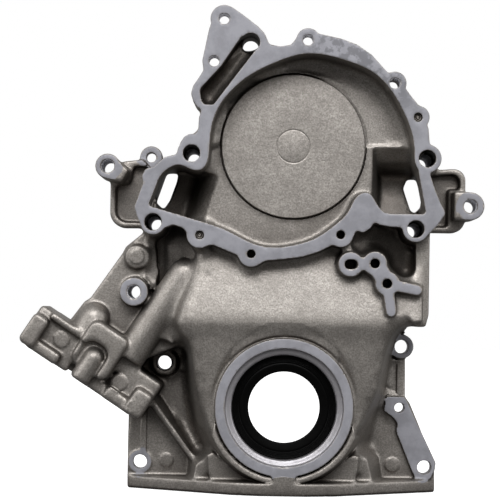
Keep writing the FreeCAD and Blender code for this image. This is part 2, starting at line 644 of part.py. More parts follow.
def oil_pad_holes():
    """Oil holes of the pad: the first one is a short slot."""
    low = OIL_PAD_H - OIL_PAD_HOLE_DEPTH
    first, second, third = OIL_PAD_DISCS
    slot = strap((first[0] + 1 - OIL_PAD_SLOT / 2, first[1]), OIL_PAD_HOLE_R,
                 (first[0] + 1 + OIL_PAD_SLOT / 2, first[1]), OIL_PAD_HOLE_R - 0.001)
    holes = [raised(slot, low, OIL_PAD_H + 1)]
    for x, y, radius in (second, third):
        holes.append(raised(disc(x, y, OIL_PAD_HOLE_R), low, OIL_PAD_H + 1))
    return holes


def lower_left_rib():
    """The thin diagonal rib from the oil pump to the pan rail."""
    foot = tapered([(-113, 1), (-101, 8), (-68, -43), (-75, -52)], 0.0,
                   [(-111, 0), (-107, 3), (-71, -46), (-74, -49)], 30.0, 0.5)
    return foot


def chain_space():
    """The hollow behind the cover for the chain and its wheels, open to the pan."""
    keyhole = strap((0, 0), CHAIN_CRANK_R, CHAIN_CAM, CHAIN_CAM_R)
    below_volute = area([(-100, 110), (100, 110), (100, 220), (-100, 220)])
    front_zone = rounded_area([(-44, 58), (44, 58), (60, 70), (60, 108), (-60, 108), (-60, 74)], 8.0)
    sump = area([(-CHAIN_CRANK_R, RAIL_Y - 1), (CHAIN_CRANK_R, RAIL_Y - 1), (CHAIN_CRANK_R, 0), (-CHAIN_CRANK_R, 0)])
    return [
        raised(keyhole.cut(below_volute), -1.0, CHAIN_DEPTH),
        raised(keyhole, -1.0, CHAIN_CAM_DEPTH),
        raised(front_zone, -1.0, CHAIN_FRONT_DEPTH),
        raised(sump, -1.0, CHAIN_DEPTH),
    ]


def rear_pockets():
    """Hollows that keep the walls even behind the volute and behind the left bank."""
    x, y = PUMP_AXIS
    wide = disc(x, y, PAD_R - 4.0).cut(area([(-80, 100), (90, 100), (90, 199), (-80, 199)]))
    ribs = [area([(x - 4, y - 80), (x + 4, y - 80), (x + 4, y + 80), (x - 4, y + 80)]),
            strap((x - 80, y + 22), 3.0, (x + 80, y + 22), 3.001)]
    behind_pump = raised(wide.cut(ribs), -1.0, PAD_H - REAR_WALL)
    bank = rounded_area([(-116.5, 131), (-127, 121), (-150, 88), (-140, 68), (-118, 86), (-112, 112)], 4.0)
    columns_here = [disc(*BANK_COLUMN[:2], BANK_COLUMN[2] + 3.0)]
    behind_bank = raised(bank.cut(columns_here), -1.0, BANK_H - REAR_WALL)
    return [behind_pump, behind_bank]


def seal_hollows():
    """The stepped bore of the crank seal and the opening behind it."""
    bore_low = SEAL_FACE_H - SEAL_BORE_DEPTH
    up = Vector(0, 0, 1)
    return [
        Part.makeCylinder(SEAL_BORE_R, SEAL_BORE_DEPTH + 1, on_plan(0, 0, bore_low), up),
        Part.makeCylinder(SEAL_STEP_R, SEAL_STEP_T + 1, on_plan(0, 0, SEAL_FACE_H - SEAL_STEP_T), up),
        Part.makeCylinder(SEAL_SHOULDER_R, SEAL_FACE_H, on_plan(0, 0, -1), up),
    ]


def flange_holes():
    """Screw holes of the water pump flange and the long bolt holes to the block."""
    top = PUMP_FACE_H + 1.0
    holes = []
    for x, y, radius in CLEAR_SCREWS:
        holes.append(raised(disc(x, y, CLEAR_SCREW_R), -1.0, top))
        holes.append(raised(disc(x, y, CLEAR_SCREW_RELIEF_R), -1.0, PUMP_FACE_H - PUMP_EAR_T))
    for x, y, radius in TAPPED_SCREWS:
        holes.append(raised(disc(x, y, TAPPED_SCREW_R), PUMP_FACE_H - TAPPED_SCREW_DEPTH, top))
    for x, y, radius in LONG_BOLTS:
        holes.append(raised(disc(x, y, LONG_BOLT_R), -1.0, top))
        holes.append(raised(disc(x, y, LONG_BOLT_MOUTH_R), PUMP_FACE_H - LONG_BOLT_MOUTH_DEPTH, top))
    slot = rounded_area([(-38, 299, 2.0), (-55.3, 273, 12.0), (-72, 254.5, 6.0), (-69.5, 242.5, 4.0),
                         (-60.5, 242.5, 2.0), (-40.5, 269.5, 25.0), (-26.5, 288, 2.0)], 3.0)
    pocket = joined([slot, disc(*POCKET_TOP, POCKET_TOP_R)])
    holes.append(raised(pocket, PUMP_FACE_H - POCKET_DEPTH, top))
    holes.append(raised(disc(*POCKET_TOP, POCKET_TOP_R - 0.8), -1.0, top))
    return holes


def block_holes():
    """Bolt holes of the ears, columns and flange plates."""
    holes = []
    for x, y, radius, hole, high in [LEFT_EAR, RIGHT_EAR, LEFT_TAB, BANK_COLUMN, LOW_COLUMN, LOW_LEFT_HOLE,
                                     RIGHT_COLUMN, PAD_TOP_HOLE, PAD_LOW_HOLE]:
        holes.append(raised(disc(x, y, hole), -1.0, high + 1.0))
    return holes


def ejector_marks():
    """The low round buttons that the die leaves on the cast faces."""
    plate_top = BLOCK_FLANGE_T
    marks = []
    for x, y, radius, level in [(-97.0, -48.0, 5.5, plate_top), (92.0, -49.0, 5.8, plate_top),
                                (-122.0, 120.7, 5.8, BANK_MARK[4]), (-182.5, 52.0, 6.2, OIL_PLATE_H),
                                (-134.5, 17.5, 6.2, OIL_PLATE_H)]:
        marks.append(raised(disc(x, y, radius), level - 2.0, level + MARK_T))
    return marks


def timing_cover():
    """The whole casting."""
    solids = [case_shell(), seal_boss(), pump_housing(), machined_side_pad(), left_bank(), oil_pad()]
    solids += pan_rail() + gussets() + block_flange() + columns() + left_ear() + right_ear()
    solids += oil_pump_body() + fuel_pump_box() + ejector_marks() + [lower_left_rib()]
    body = fuse(solids)
    hollows = volute_space() + [left_wing_pocket(), right_wing_pocket()]
    hollows += coolant_ports() + chain_space() + seal_hollows() + flange_holes() + block_holes()
    hollows += oil_pump_hollows() + fuel_pump_hollows() + oil_pad_holes() + rear_pockets()
    for hollow in hollows:
        body = body.cut(hollow)
    solid = max(body.Solids, key=lambda piece: piece.Volume)
    print("casting pieces", len(body.Solids), "volume", round(body.Volume), "faces", len(solid.Faces))
    return solid


def turned_profile(points):
    """A solid of revolution about the crank axis from (radius, h) points."""
    corners = [Vector(r, 0, h) for r, h in points]
    face = Part.Face(Part.makePolygon(corners + corners[:1]))
    return face.revolve(Vector(0, 0, 0), Vector(0, 0, 1), 360)


def seal_pieces():
    """The pressed shell, the rubber lip and the garter spring of the crank seal."""
    front = SEAL_FACE_H - SEAL_SETBACK
    back = front - SEAL_WIDTH
    outer = SEAL_BORE_R
    t = SEAL_SHELL_T
    web = LIP_R + LIP_T + 5.0
    shell = turned_profile([(outer, back), (outer, front), (web, front), (web, front - t),
                            (outer - t, front - t), (outer - t, back)])
    lip = turned_profile([(web, front), (LIP_R + LIP_T, front - 0.5), (LIP_R, front - 2.0),
                          (LIP_R, front - SEAL_WIDTH + 2.0), (LIP_R + LIP_T, back), (LIP_R + LIP_T + 2.0, back),
                          (LIP_R + LIP_T + 2.0, front - t - 1.5), (web, front - t)])
    spring_at = LIP_R + LIP_T + 2.0 + SPRING_R
    spring = Part.makeTorus(spring_at, SPRING_R, Vector(0, 0, back + 2.0))
    return {"seal_case": shell, "seal_lip": lip, "garter_spring": spring}


def upright(shape):
    """Turns the plan so that it stands up and faces the front."""
    turned = shape.copy()
    turned.rotate(Vector(0, 0, 0), Vector(1, 0, 0), 90)
    return turned


def main():
    os.makedirs("parts", exist_ok=True)
    nodes = {"cover_casting": timing_cover()}
    nodes.update(seal_pieces())
    for name, shape in nodes.items():
        placed = upright(shape)
        if not placed.isValid():
            print("not valid:", name)
        placed.exportStep(os.path.join("parts", name + ".step"))


main()
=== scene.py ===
"""An engine timing cover, dressed for a studio picture.

The CAD frame gives the casting and its crank seal. This file rounds the casting's
corners as a die does, gives it cast and machined finishes, and adds the seal's
rubber, the screw threads and the studio. Shapes are worked out in millimetres, as x to
the right, y up and h forward from the block face, and put into the frame's metres.
"""

import json
import math

import bpy
import numpy as np
import openvdb
from bpy.props import FloatProperty, FloatVectorProperty, IntProperty, PointerProperty
from mathutils import Matrix, Vector


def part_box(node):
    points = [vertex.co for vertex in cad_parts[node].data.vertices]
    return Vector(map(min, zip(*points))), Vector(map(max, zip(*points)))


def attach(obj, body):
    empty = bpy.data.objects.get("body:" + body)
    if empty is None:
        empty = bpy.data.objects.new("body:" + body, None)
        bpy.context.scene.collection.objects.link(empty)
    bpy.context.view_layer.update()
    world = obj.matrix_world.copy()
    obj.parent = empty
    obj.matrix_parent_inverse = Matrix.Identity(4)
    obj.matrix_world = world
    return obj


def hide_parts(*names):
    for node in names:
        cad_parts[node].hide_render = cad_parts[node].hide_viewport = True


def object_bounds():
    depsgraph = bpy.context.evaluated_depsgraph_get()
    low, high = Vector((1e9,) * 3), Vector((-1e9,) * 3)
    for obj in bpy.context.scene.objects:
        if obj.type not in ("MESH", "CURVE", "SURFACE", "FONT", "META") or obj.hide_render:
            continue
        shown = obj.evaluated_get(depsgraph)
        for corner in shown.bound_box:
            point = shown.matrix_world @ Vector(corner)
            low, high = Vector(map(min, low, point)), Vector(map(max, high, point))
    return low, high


bl_info = {
    "name": "Timing Cover",
    "version": (1, 0, 0),
    "blender": (4, 5, 0),
    "location": "3D View > Sidebar > Timing Cover",
    "description": "Builds the visual model of a cast timing cover on its CAD frame",
    "category": "Object",
}

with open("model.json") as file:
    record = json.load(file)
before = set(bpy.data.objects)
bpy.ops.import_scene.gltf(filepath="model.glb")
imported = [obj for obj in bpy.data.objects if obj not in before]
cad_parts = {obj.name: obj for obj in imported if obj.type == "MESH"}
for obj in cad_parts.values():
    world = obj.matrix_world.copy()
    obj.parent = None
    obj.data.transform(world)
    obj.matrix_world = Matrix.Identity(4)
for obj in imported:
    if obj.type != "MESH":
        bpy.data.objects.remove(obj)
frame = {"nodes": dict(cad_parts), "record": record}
CAD_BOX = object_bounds()
MM = 0.001
MOUNTS = {m["name"]: m for m in frame["record"]["mounts"]}


def axis_height(name):
    """Height of a flat mount over the block face, in millimetres."""
    return -MOUNTS[name]["pos_m"][1] / MM


PUMP_FACE = axis_height("pump_face")
LIP_R = MOUNTS["crank_seal_lip"]["dims"]["r_mm"]
SEAL_LOW, SEAL_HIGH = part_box("seal_case")
SEAL_R = SEAL_HIGH.x / MM
SEAL_FRONT = -SEAL_LOW.y / MM
SEAL_BACK = -SEAL_HIGH.y / MM


class CoverSizes(bpy.types.PropertyGroup):
    """Sizes of the visual model that are not in the CAD frame."""

    grid: FloatProperty(
        name="Grid", description="Spacing of the distance grid that rounds the casting",
        default=0.8 * MM, min=0.4 * MM, unit="LENGTH")
    root_fillet: FloatProperty(
        name="Root fillet", description="Radius in the casting's inner corners",
        default=1.3 * MM, unit="LENGTH")
    edge_round: FloatProperty(
        name="Edge rounding", description="Radius on the casting's outer edges",
        default=1.1 * MM, unit="LENGTH")
    pump_edge: FloatProperty(
        name="Oil pump edges", description="Radius on the edges of the oil pump body",
        default=2.4 * MM, unit="LENGTH")
    soft_fillet: FloatProperty(
        name="Case foot fillet", description="Radius where the case meets the plates",
        default=5.5 * MM, unit="LENGTH")
    soft_edge: FloatProperty(
        name="Case front edge", description="Radius on the side edges of the case front",
        default=9.0 * MM, unit="LENGTH")
    merge: FloatProperty(
        name="Merging", description="How far flat grid faces are merged", default=0.02)
    faces: IntProperty(
        name="Casting triangles", description="Most triangles of the casting's mesh", default=190000)
    oil_pad: FloatProperty(
        name="Oil pad face", description="Height of the pad with the oil holes",
        default=79.0 * MM, unit="LENGTH")
    thread_pitch: FloatProperty(
        name="Thread pitch", description="Distance between two thread crests",
        default=1.6 * MM, unit="LENGTH")
    thread_depth: FloatProperty(
        name="Thread depth", description="Height of a crest over the hole's wall",
        default=0.35 * MM, unit="LENGTH")


class CoverFinishes(bpy.types.PropertyGroup):
    """Colours of the metal and the rubber, and of the painted shade in the casting's deep corners."""

    cast: FloatVectorProperty(
        name="Cast metal", description="Colour of the die-cast skin",
        subtype="COLOR", size=3, default=(0.48, 0.449, 0.418))
    cast_dark: FloatVectorProperty(
        name="Cast metal, dark", description="Colour of the skin's darker clouds",
        subtype="COLOR", size=3, default=(0.27, 0.25, 0.23))
    # Painted shade: the colour that the casting's skin darkens towards in deep corners, where shade falls.
    corner_shade: FloatVectorProperty(
        name="Painted corner shade", description="Colour of the skin in deep corners",
        subtype="COLOR", size=3, default=(0.045, 0.037, 0.031))
    machined: FloatVectorProperty(
        name="Machined metal", description="Colour of the milled faces",
        subtype="COLOR", size=3, default=(0.31, 0.31, 0.342))
    bored: FloatVectorProperty(
        name="Bored metal", description="Colour of drilled and reamed walls",
        subtype="COLOR", size=3, default=(0.4, 0.39, 0.41))
    rubber: FloatVectorProperty(
        name="Rubber", description="Colour of the seal",
        subtype="COLOR", size=3, default=(0.002, 0.002, 0.002))


class CoverStudio(bpy.types.PropertyGroup):
    """Camera and lights."""

    distance: FloatProperty(
        name="Camera distance", description="From the block face to the camera",
        default=1.582, unit="LENGTH")
    side: FloatProperty(
        name="Camera to the left", description="How far left of the crank axis the camera is",
        default=0.0247, unit="LENGTH")
    height: FloatProperty(
        name="Camera height", description="Height over the crank axis", default=0.0787, unit="LENGTH")
    lens: FloatProperty(
        name="Lens", description="Focal length in millimetres", default=135.0)
    roll: FloatProperty(
        name="Roll", description="Turn of the camera about its line of sight",
        default=math.radians(0.9), subtype="ANGLE")
    sky: FloatProperty(
        name="Tent light", description="Strength of the even light from above", default=0.45)
    ground: FloatProperty(
        name="Ground light", description="Strength of the even light from below", default=0.12)
    key: FloatProperty(
        name="Front box", description="Power of the large light over the camera, in watts", default=37.0)
    side_key: FloatProperty(
        name="Side lights", description="Power of each side light, in watts", default=4.6)


# Casting: the CAD node as a distance grid, in millimetres


def grid_of(points, spacing, half_width, **faces):
    """Signed distances to a closed surface, kept in a band round it."""
    transform = openvdb.createLinearTransform(voxelSize=spacing)
    return openvdb.FloatGrid.createLevelSetFromPolygons(
        points, transform=transform, halfWidth=half_width, **faces)


def offset_again(grid, spacing, distance, reach=0.0):
    """The grid of the surface that lies at the given distance outside the grid's own. Its
    band is as wide as the distance or the reach, whichever is more."""
    points, quads = grid.convertToQuads(isovalue=distance)
    return grid_of(points, spacing, max(abs(distance), reach) / spacing + 4.0, quads=quads)


class Volume:
    """A block of grid points with its coordinates, for formulas on whole arrays. Its twin
    is a coarser block with twice the spacing and the same corner."""

    def __init__(self, first, shape, spacing):
        self.first, self.shape, self.spacing = first, shape, spacing
        axes = [(np.arange(n) + start) * spacing for n, start in zip(shape, first)]
        self.x = axes[0][:, None, None].astype(np.float32)
        self.h = -axes[1][None, :, None].astype(np.float32)
        self.y = axes[2][None, None, :].astype(np.float32)

    @classmethod
    def round_box(cls, box, spacing, margin):
        """The coarse block that holds the box, and the fine block in the same place."""
        low, high = (np.array(corner) / MM for corner in box)
        wide = 2.0 * spacing
        first = np.floor((low - margin) / wide).astype(int)
        shape = np.ceil((high + margin) / wide).astype(int) - first + 1
        return cls(first, tuple(shape), wide), cls(first * 2, tuple(shape * 2 - 1), spacing)

    def read(self, grid):
        """The grid's distances at every point of the block."""
        values = np.empty(self.shape, np.float32)
        grid.copyToArray(values, ijk=tuple(int(i) for i in self.first))
        return values

    def part(self, x_low, x_high, h_low, h_high, y_low, y_high):
        """A smaller block of this one, and its slices."""
        lows = (x_low, -h_high, y_low)
        highs = (x_high, -h_low, y_high)
        slices, first, shape = [], [], []
        for low, high, start, count in zip(lows, highs, self.first, self.shape):
            i = min(max(int(math.floor(low / self.spacing)) - start, 0), count - 2)
            j = min(max(int(math.ceil(high / self.spacing)) - start + 1, i + 1), count)
            slices.append(slice(i, j))
            first.append(start + i)
            shape.append(j - i)
        return Volume(np.array(first), tuple(shape), self.spacing), tuple(slices)

    def surface(self, values, adaptivity):
        """Points, triangles and quads where the values cross zero."""
        band = 3.0 * self.spacing
        grid = openvdb.FloatGrid(band)
        grid.transform = openvdb.createLinearTransform(voxelSize=self.spacing)
        values = np.ascontiguousarray(np.clip(values, -band, band))
        grid.copyFromArray(values, ijk=tuple(int(i) for i in self.first), tolerance=0.0)
        return grid.convertToPolygons(isovalue=0.0, adaptivity=adaptivity)


def finer(values):
    """The coarse block's values on the fine block: each new point between two old ones is
    nine sixteenths of each neighbour less one sixteenth of each next one."""
    for axis in range(3):
        values = np.moveaxis(values, axis, 0)
        padded = np.concatenate([values[:1], values, values[-1:]])
        between = (9.0 * (values[:-1] + values[1:]) - padded[:-3] - padded[3:]) / 16.0
        out = np.empty((2 * len(values) - 1,) + values.shape[1:], np.float32)
        out[::2], out[1::2] = values, between
        values = np.moveaxis(out, 0, axis)
    return values


def smooth_step(value, low, high):
    """0 below low, 1 above high, with an S curve between them."""
    t = np.clip((value - low) / (high - low), 0.0, 1.0)
    return t * t * (3.0 - 2.0 * t)


def softened(values):
    """The values averaged with their neighbours along each axis in turn: half of each value
    and a quarter from each side."""
    for axis in range(3):
        values = np.moveaxis(values, axis, 0)
        out = values.copy()
        out[1:-1] = 0.5 * values[1:-1] + 0.25 * (values[2:] + values[:-2])
        values = np.moveaxis(out, 0, axis)
    return values


# Round pad in the volute: its axis, radius, gap to the scroll, the heights of its face
# and foot, the height of the seat cut for it, and the radius of its centre mark
PUMP_AXIS = (4.5, 212.5)
PAD_R = 58.5
PAD_GAP = 1.2
PAD_FACE = 54.0
PAD_FOOT = 50.4
PAD_SEAT = 12.0
PAD_MARK_R = 13.5

# Oil holes in the oil pad; the first two run into one long hole
OIL_HOLES = [(50.4, 116.5), (52.5, 116.5), (71.0, 117.5), (81.0, 101.5)]
OIL_HOLE_R = 3.8
OIL_HOLE_DEPTH = 30.0

# Low round buttons that stay crisp, as x, y and radius
BUTTONS = [(-97.0, -48.0, 5.5), (92.0, -49.0, 5.8), (-122.0, 120.7, 5.8), (-182.5, 52.0, 6.2),
           (-134.5, 17.5, 6.2)]

# Lines in plan along which the case's and the volute's feet have wide fillets, and along
# which the case's front edges are well rounded: points, then full and outer reach
SOFT_FEET = [
    ([(-70, 150), (-78, 122), (-84, 106), (-92, 88), (-97, 68), (-90, 54), (-87, 30), (-84, 2),
      (-79, -20), (-62, -46)], 7.0, 13.0),
    ([(62, -46), (79, -18), (88, 6)], 6.0, 11.0),
    ([(92, 20), (93, 41), (96, 58)], 4.0, 8.0),
    ([(58, 128), (70, 136), (84, 124), (98, 116)], 10.0, 16.0),
    ([(-112, 100), (-108, 118), (-108, 134)], 4.0, 9.0),
    ([(-66, 222), (-60, 254), (-36, 276), (0, 284), (35, 280), (68, 261), (87, 240), (97, 212)],
     10.0, 15.0)]
SOFT_EDGES = [
    ([(-72, 122), (-74, 104), (-84, 82), (-87, 68), (-80, 58), (-72, 48), (-68, 33), (-61, 5),
      (-54, -16), (-44, -33)], 9.0, 15.0),
    ([(44, -33), (57, -13), (69, 15), (76, 42), (82, 57), (91, 67)], 8.0, 13.0)]
# Line of the oil pump body, whose edges have a radius of their own
OIL_BODY = [([(-200, 66), (-110, 7)], 34.0, 38.0)]
# Round columns whose feet stay sharp, as x, y and reach
SHARP_COLUMNS = [(-99.5, 33.7, 11.5), (98.0, 50.0, 10.5), (-123.5, 92.0, 12.0)]
# Heights between which the soft edges fade in, and all soft forms fade out
SOFT_FROM = (14.0, 20.0)
SOFT_TO = (73.5, 76.0)

# Seal boss, and the height of the case front over y
BOSS_FACE = 70.0
BOSS_R = 57.0
CASE_FRONT = ([-90.0, 0.0, 58.0, 66.0, 72.0, 130.0], [62.0, 65.2, 70.4, 72.4, 72.6, 64.0])
# The slope from the case front down to the boss: its height at a radius, its inner and
# outer radius, the distance at which its ends sink away, and its thickness
BROW_H = 69.2
BROW_FROM = 56.0
BROW_R = (54.0, 74.0)
BROW_ENDS = 42.0
BROW_THICKNESS = 4.0
# The cone round the boss's foot: its radius at the block face, its lowest and highest
# point, its lowest y, and the half width and height of the chain space that it leaves free
FOOT_R = 76.0
FOOT_H = (12.0, 68.4)
FOOT_LOW_Y = -65.0
CHAIN_SPACE = 50.0

# Milled pads: the oil pad as lines and reach, the side pad as a rounded outline
MILLED_R = 11.5
OIL_PAD = ([(51.5, 116.5), (71, 117.5), (81, 101.5), (84, 78.5), (81, 101.5), (105, 96)],
           11.0, 13.0, 79.0)
SIDE_PAD_OUTLINE = [
    (86.7, -2.4), (88.3, 5.8), (99.9, 5.8), (125.5, -47.3), (122.5, -57.4), (113.6, -57.4),
    (111.0, -53.6), (97.3, -20.4), (98.8, -12.3), (93.3, -7.2)]
SIDE_PAD_ROUND = 2.6
SIDE_PAD_FOOT = 9.0
SIDE_PAD_FACE = 16.0

# Recess between the case and the left bank, with its floor's height over x
RECESS = [(-114, 137), (-106.5, 128), (-105.5, 116), (-108, 106), (-114, 95), (-96, 89), (-66, 112),
          (-64, 150), (-100, 149)]
RECESS_FLOOR = ([-118, -109, -101, -94, -86, -78, -70, -62], [36, 34, 34.5, 38, 45, 54, 62, 67])
RECESS_FOOT = 14.0

# Low strips along the plate's sides
STRIPS = [[(-118.9, -69), (-118.9, 12), (-113.7, 12), (-113.7, -44), (-117.5, -62)],
          [(94.6, 5), (102, 5), (101.5, 44), (94.6, 44)]]
STRIP_FOOT = 10.0
STRIP_FACE = 13.2

# Metal round the screw holes in the volute's right wall: x, y, radius, foot and top
SCREW_POSTS = [(103.5, 235.0, 8.6, 53.0, 81.0), (84.5, 262.0, 7.0, 50.0, 80.0)]
# Tapped holes with a visible bottom, which lies this far below the pump flange
HOLE_BOTTOMS = [(-70.0, 138.0), (103.5, 235.0)]
HOLE_BOTTOM_DEPTH = 3.0
# Middle of the water stains on the pump flange, in metres
STAIN_CENTRE = (0.055, -0.082, 0.272)


def straight_holes():
    """Name, kind, x, y, radius, middle and length of each hole along h."""
    for name, mount in MOUNTS.items():
        if mount["kind"] in ("bore", "threaded_hole") and mount["axis"][1] == -1:
            (x, h, y), dims = mount["pos_m"], mount["dims"]
            yield name, mount["kind"], x / MM, y / MM, dims["r_mm"], -h / MM, dims["length_mm"]


def plan_distance(v, x, y):
    """Distance in plan from a vertical axis."""
    return np.hypot(v.x - x, v.y - y)


def line_distance(v, points):
    """Distance in plan from a run of straight lines."""
    nearest = np.full((v.shape[0], 1, v.shape[2]), 1e6, np.float32)
    for (ax, ay), (bx, by) in zip(points, points[1:]):
        dx, dy = bx - ax, by - ay
        t = np.clip(((v.x - ax) * dx + (v.y - ay) * dy) / (dx * dx + dy * dy), 0.0, 1.0)
        nearest = np.minimum(nearest, np.hypot(v.x - ax - t * dx, v.y - ay - t * dy))
    return nearest


def outline_distance(v, points):
    """Distance in plan from a closed outline, negative inside it."""
    closed = points + points[:1]
    edge = line_distance(v, closed)
    inside = np.zeros(edge.shape, bool)
    for (ax, ay), (bx, by) in zip(closed, closed[1:]):
        if ay != by:
            inside ^= ((ay > v.y) != (by > v.y)) & (v.x < (bx - ax) * (v.y - ay) / (by - ay) + ax)
    return np.where(inside, -edge, edge)


def near_lines(v, lines):
    """1 within the full reach of any of the lines, 0 beyond the outer reach."""
    near = np.zeros((v.shape[0], 1, v.shape[2]), np.float32)
    for points, full, outer in lines:
        near = np.maximum(near, 1.0 - smooth_step(line_distance(v, points), full, outer))
    return near


def upright_rod(v, x, y, radius, low, high):
    """Distance from a round rod along h: the larger of those from its wall and its ends."""
    ends = np.abs(v.h - (low + high) / 2) - (high - low) / 2
    return np.maximum(plan_distance(v, x, y) - radius, ends)


def add(values, at, form):
    """Adds a form to a block: the smaller of the two distances."""
    values[at] = np.minimum(values[at], form)


def cut(values, at, form):
    """Cuts a form out of a block: the larger of its distance and the form's negative one."""
    values[at] = np.maximum(values[at], -form)


def milled_places(v):
    """For each milled place apart from the pump flange: its plan mask and its height."""
    for name, _, x, y, _, _, length in straight_holes():
        if name.startswith("block_bolt_hole") and not name.endswith("low_column"):
            yield 1.0 - smooth_step(plan_distance(v, x, y), MILLED_R, MILLED_R + 2.0), length
    side_pad = outline_distance(v, SIDE_PAD_OUTLINE) - SIDE_PAD_ROUND
    yield 1.0 - smooth_step(side_pad, 0.8, 1.8), SIDE_PAD_FACE
    points, full, outer, high = OIL_PAD
    yield 1.0 - smooth_step(line_distance(v, points), full, outer), high
    yield 1.0 - smooth_step(np.hypot(v.x, v.y), BOSS_R, BOSS_R + 2.0), BOSS_FACE


def add_low_forms(v, values):
    """Adds the recess floor, the strips, the screw posts and the side pad. Each is the
    larger of the distances from its outline, its face and its foot."""
    near, at = v.part(-122, -58, 10, 76, 84, 154)
    floor = np.interp(near.x, *RECESS_FLOOR).astype(np.float32)
    fill = np.maximum((near.h - floor) * 0.7, outline_distance(near, RECESS))
    add(values, at, np.maximum(fill, RECESS_FOOT - near.h))
    for outline in STRIPS:
        near, at = v.part(-122, 108, 8, 18, -72, 48)
        strip = np.maximum(outline_distance(near, outline), near.h - STRIP_FACE)
        add(values, at, np.maximum(strip, STRIP_FOOT - near.h))
    for x, y, radius, foot, top in SCREW_POSTS:
        near, at = v.part(x - 14, x + 14, foot - 4, top + 4, y - 14, y + 14)
        add(values, at, upright_rod(near, x, y, radius, foot, top))
    near, at = v.part(75, 140, 0, 24, -70, 16)
    pad = outline_distance(near, SIDE_PAD_OUTLINE) - SIDE_PAD_ROUND
    pad = np.maximum(pad, near.h - SIDE_PAD_FACE)
    add(values, at, np.maximum(pad, SIDE_PAD_FOOT - near.h))


def add_boss_forms(v, values):
    """Adds the slope over the seal boss and the cone round its foot. The slope rises by a
    third of the distance from the boss until it meets the case front, and sinks away at
    its ends. The cone's radius falls by a fifth of the height."""
    near, at = v.part(-72, 72, 50, 80, 5, 76)
    from_crank = np.hypot(near.x, near.y)
    front = np.interp(near.y, *CASE_FRONT).astype(np.float32)
    slope = np.minimum(BROW_H + 0.33 * (from_crank - BROW_FROM), front)
    slope = slope - 0.4 * np.maximum(BROW_ENDS - near.y, 0.0)
    slope = slope - 0.5 * np.maximum(np.abs(near.x) - BROW_ENDS, 0.0)
    ring = np.maximum(from_crank - BROW_R[1], BROW_R[0] - from_crank)
    brow = np.maximum((near.h - slope) * 0.8, ring)
    add(values, at, np.maximum(brow, slope - BROW_THICKNESS - near.h))
    near, at = v.part(-82, 82, 8, 72, -68, 12)
    from_crank = np.hypot(near.x, near.y)
    foot = from_crank - FOOT_R + 0.2 * near.h + 0.45 * np.maximum(near.y + 24.0, 0.0)
    foot = np.maximum(foot, BOSS_R - from_crank)
    foot = np.maximum(foot, -np.maximum(np.abs(near.x) - CHAIN_SPACE, near.h - CHAIN_SPACE))
    ends = np.maximum(FOOT_H[0] - near.h, near.h - FOOT_H[1])
    add(values, at, np.maximum(foot, np.maximum(ends, FOOT_LOW_Y - near.y)))


def cut_holes(v, values, oil_pad):
    """Cuts the seat of the round pad, every bolt and screw hole along h, and the oil holes."""
    x, y = PUMP_AXIS
    near, at = v.part(x - 70, x + 70, 44, 66, y - 70, y + 70)
    half = PAD_SEAT / 2
    ends = np.abs(near.h - PAD_FOOT - half) - half
    cut(values, at, np.maximum(plan_distance(near, x, y) - PAD_R - PAD_GAP, ends))
    for name, kind, x, y, radius, middle, length in straight_holes():
        if name == "crank_seal_lip":
            continue
        low = middle - length / 2 if kind == "threaded_hole" else -2.0
        high = middle + length / 2 + 3.0
        near, at = v.part(x - 12, x + 12, low - 4, high + 4, y - 12, y + 12)
        cut(values, at, upright_rod(near, x, y, radius, low, high))
    for x, y in OIL_HOLES:
        near, at = v.part(x - 8, x + 8, 40, 86, y - 8, y + 8)
        bottom = (oil_pad - OIL_HOLE_DEPTH) - near.h
        cut(values, at, np.maximum(plan_distance(near, x, y) - OIL_HOLE_R, bottom))


def sharpen_milling(v, values, filleted):
    """Puts the sharp outer edges back at the pump flange and at each milled place."""
    values += (filleted - values) * smooth_step(v.h, PUMP_FACE - 7.0, PUMP_FACE - 4.0)
    for mask, high in milled_places(v):
        near = np.argwhere(mask[:, 0, :] > 0.0)
        (i0, k0), (i1, k1) = near.min(0), near.max(0) + 1
        j = np.flatnonzero((v.h[0, :, 0] > high - 3.5) & (v.h[0, :, 0] < high + 4.0))
        at = (slice(i0, i1), slice(j[0], j[-1] + 1), slice(k0, k1))
        rise = smooth_step(v.h[:, at[1], :], high - 3.0, high - 1.5)
        values[at] += (filleted[at] - values[at]) * (mask[at[0], :, at[2]] * rise)


def coordinates(mesh, kind=float):
    """The places of a mesh's points, in metres."""
    points = np.empty(len(mesh.vertices) * 3, kind)
    mesh.vertices.foreach_get("co", points)
    return points.reshape(-1, 3)


def casting_triangles():
    """The CAD casting's points in millimetres and its triangles."""
    mesh = frame["nodes"]["cover_casting"].data
    mesh.calc_loop_triangles()
    points = coordinates(mesh, np.float32)
    corners = np.empty(len(mesh.loop_triangles) * 3, np.int32)
    mesh.loop_triangles.foreach_get("vertices", corners)
    return points / np.float32(MM), corners.reshape(-1, 3).astype(np.uint32)


def soft_fields(points, triangles, coarse, fillet, edge):
    """The casting with wide inner fillets, and with wide outer edges too, worked out on the
    coarse block and read on the fine one."""
    spacing = coarse.spacing
    plain = grid_of(points, spacing, fillet / spacing + 4.0, triangles=triangles)
    outside = offset_again(plain, spacing, fillet, fillet + edge)
    soft_feet = softened(finer(coarse.read(outside) + fillet))
    inside = offset_again(outside, spacing, -fillet - edge)
    return soft_feet, softened(finer(coarse.read(inside) - edge))


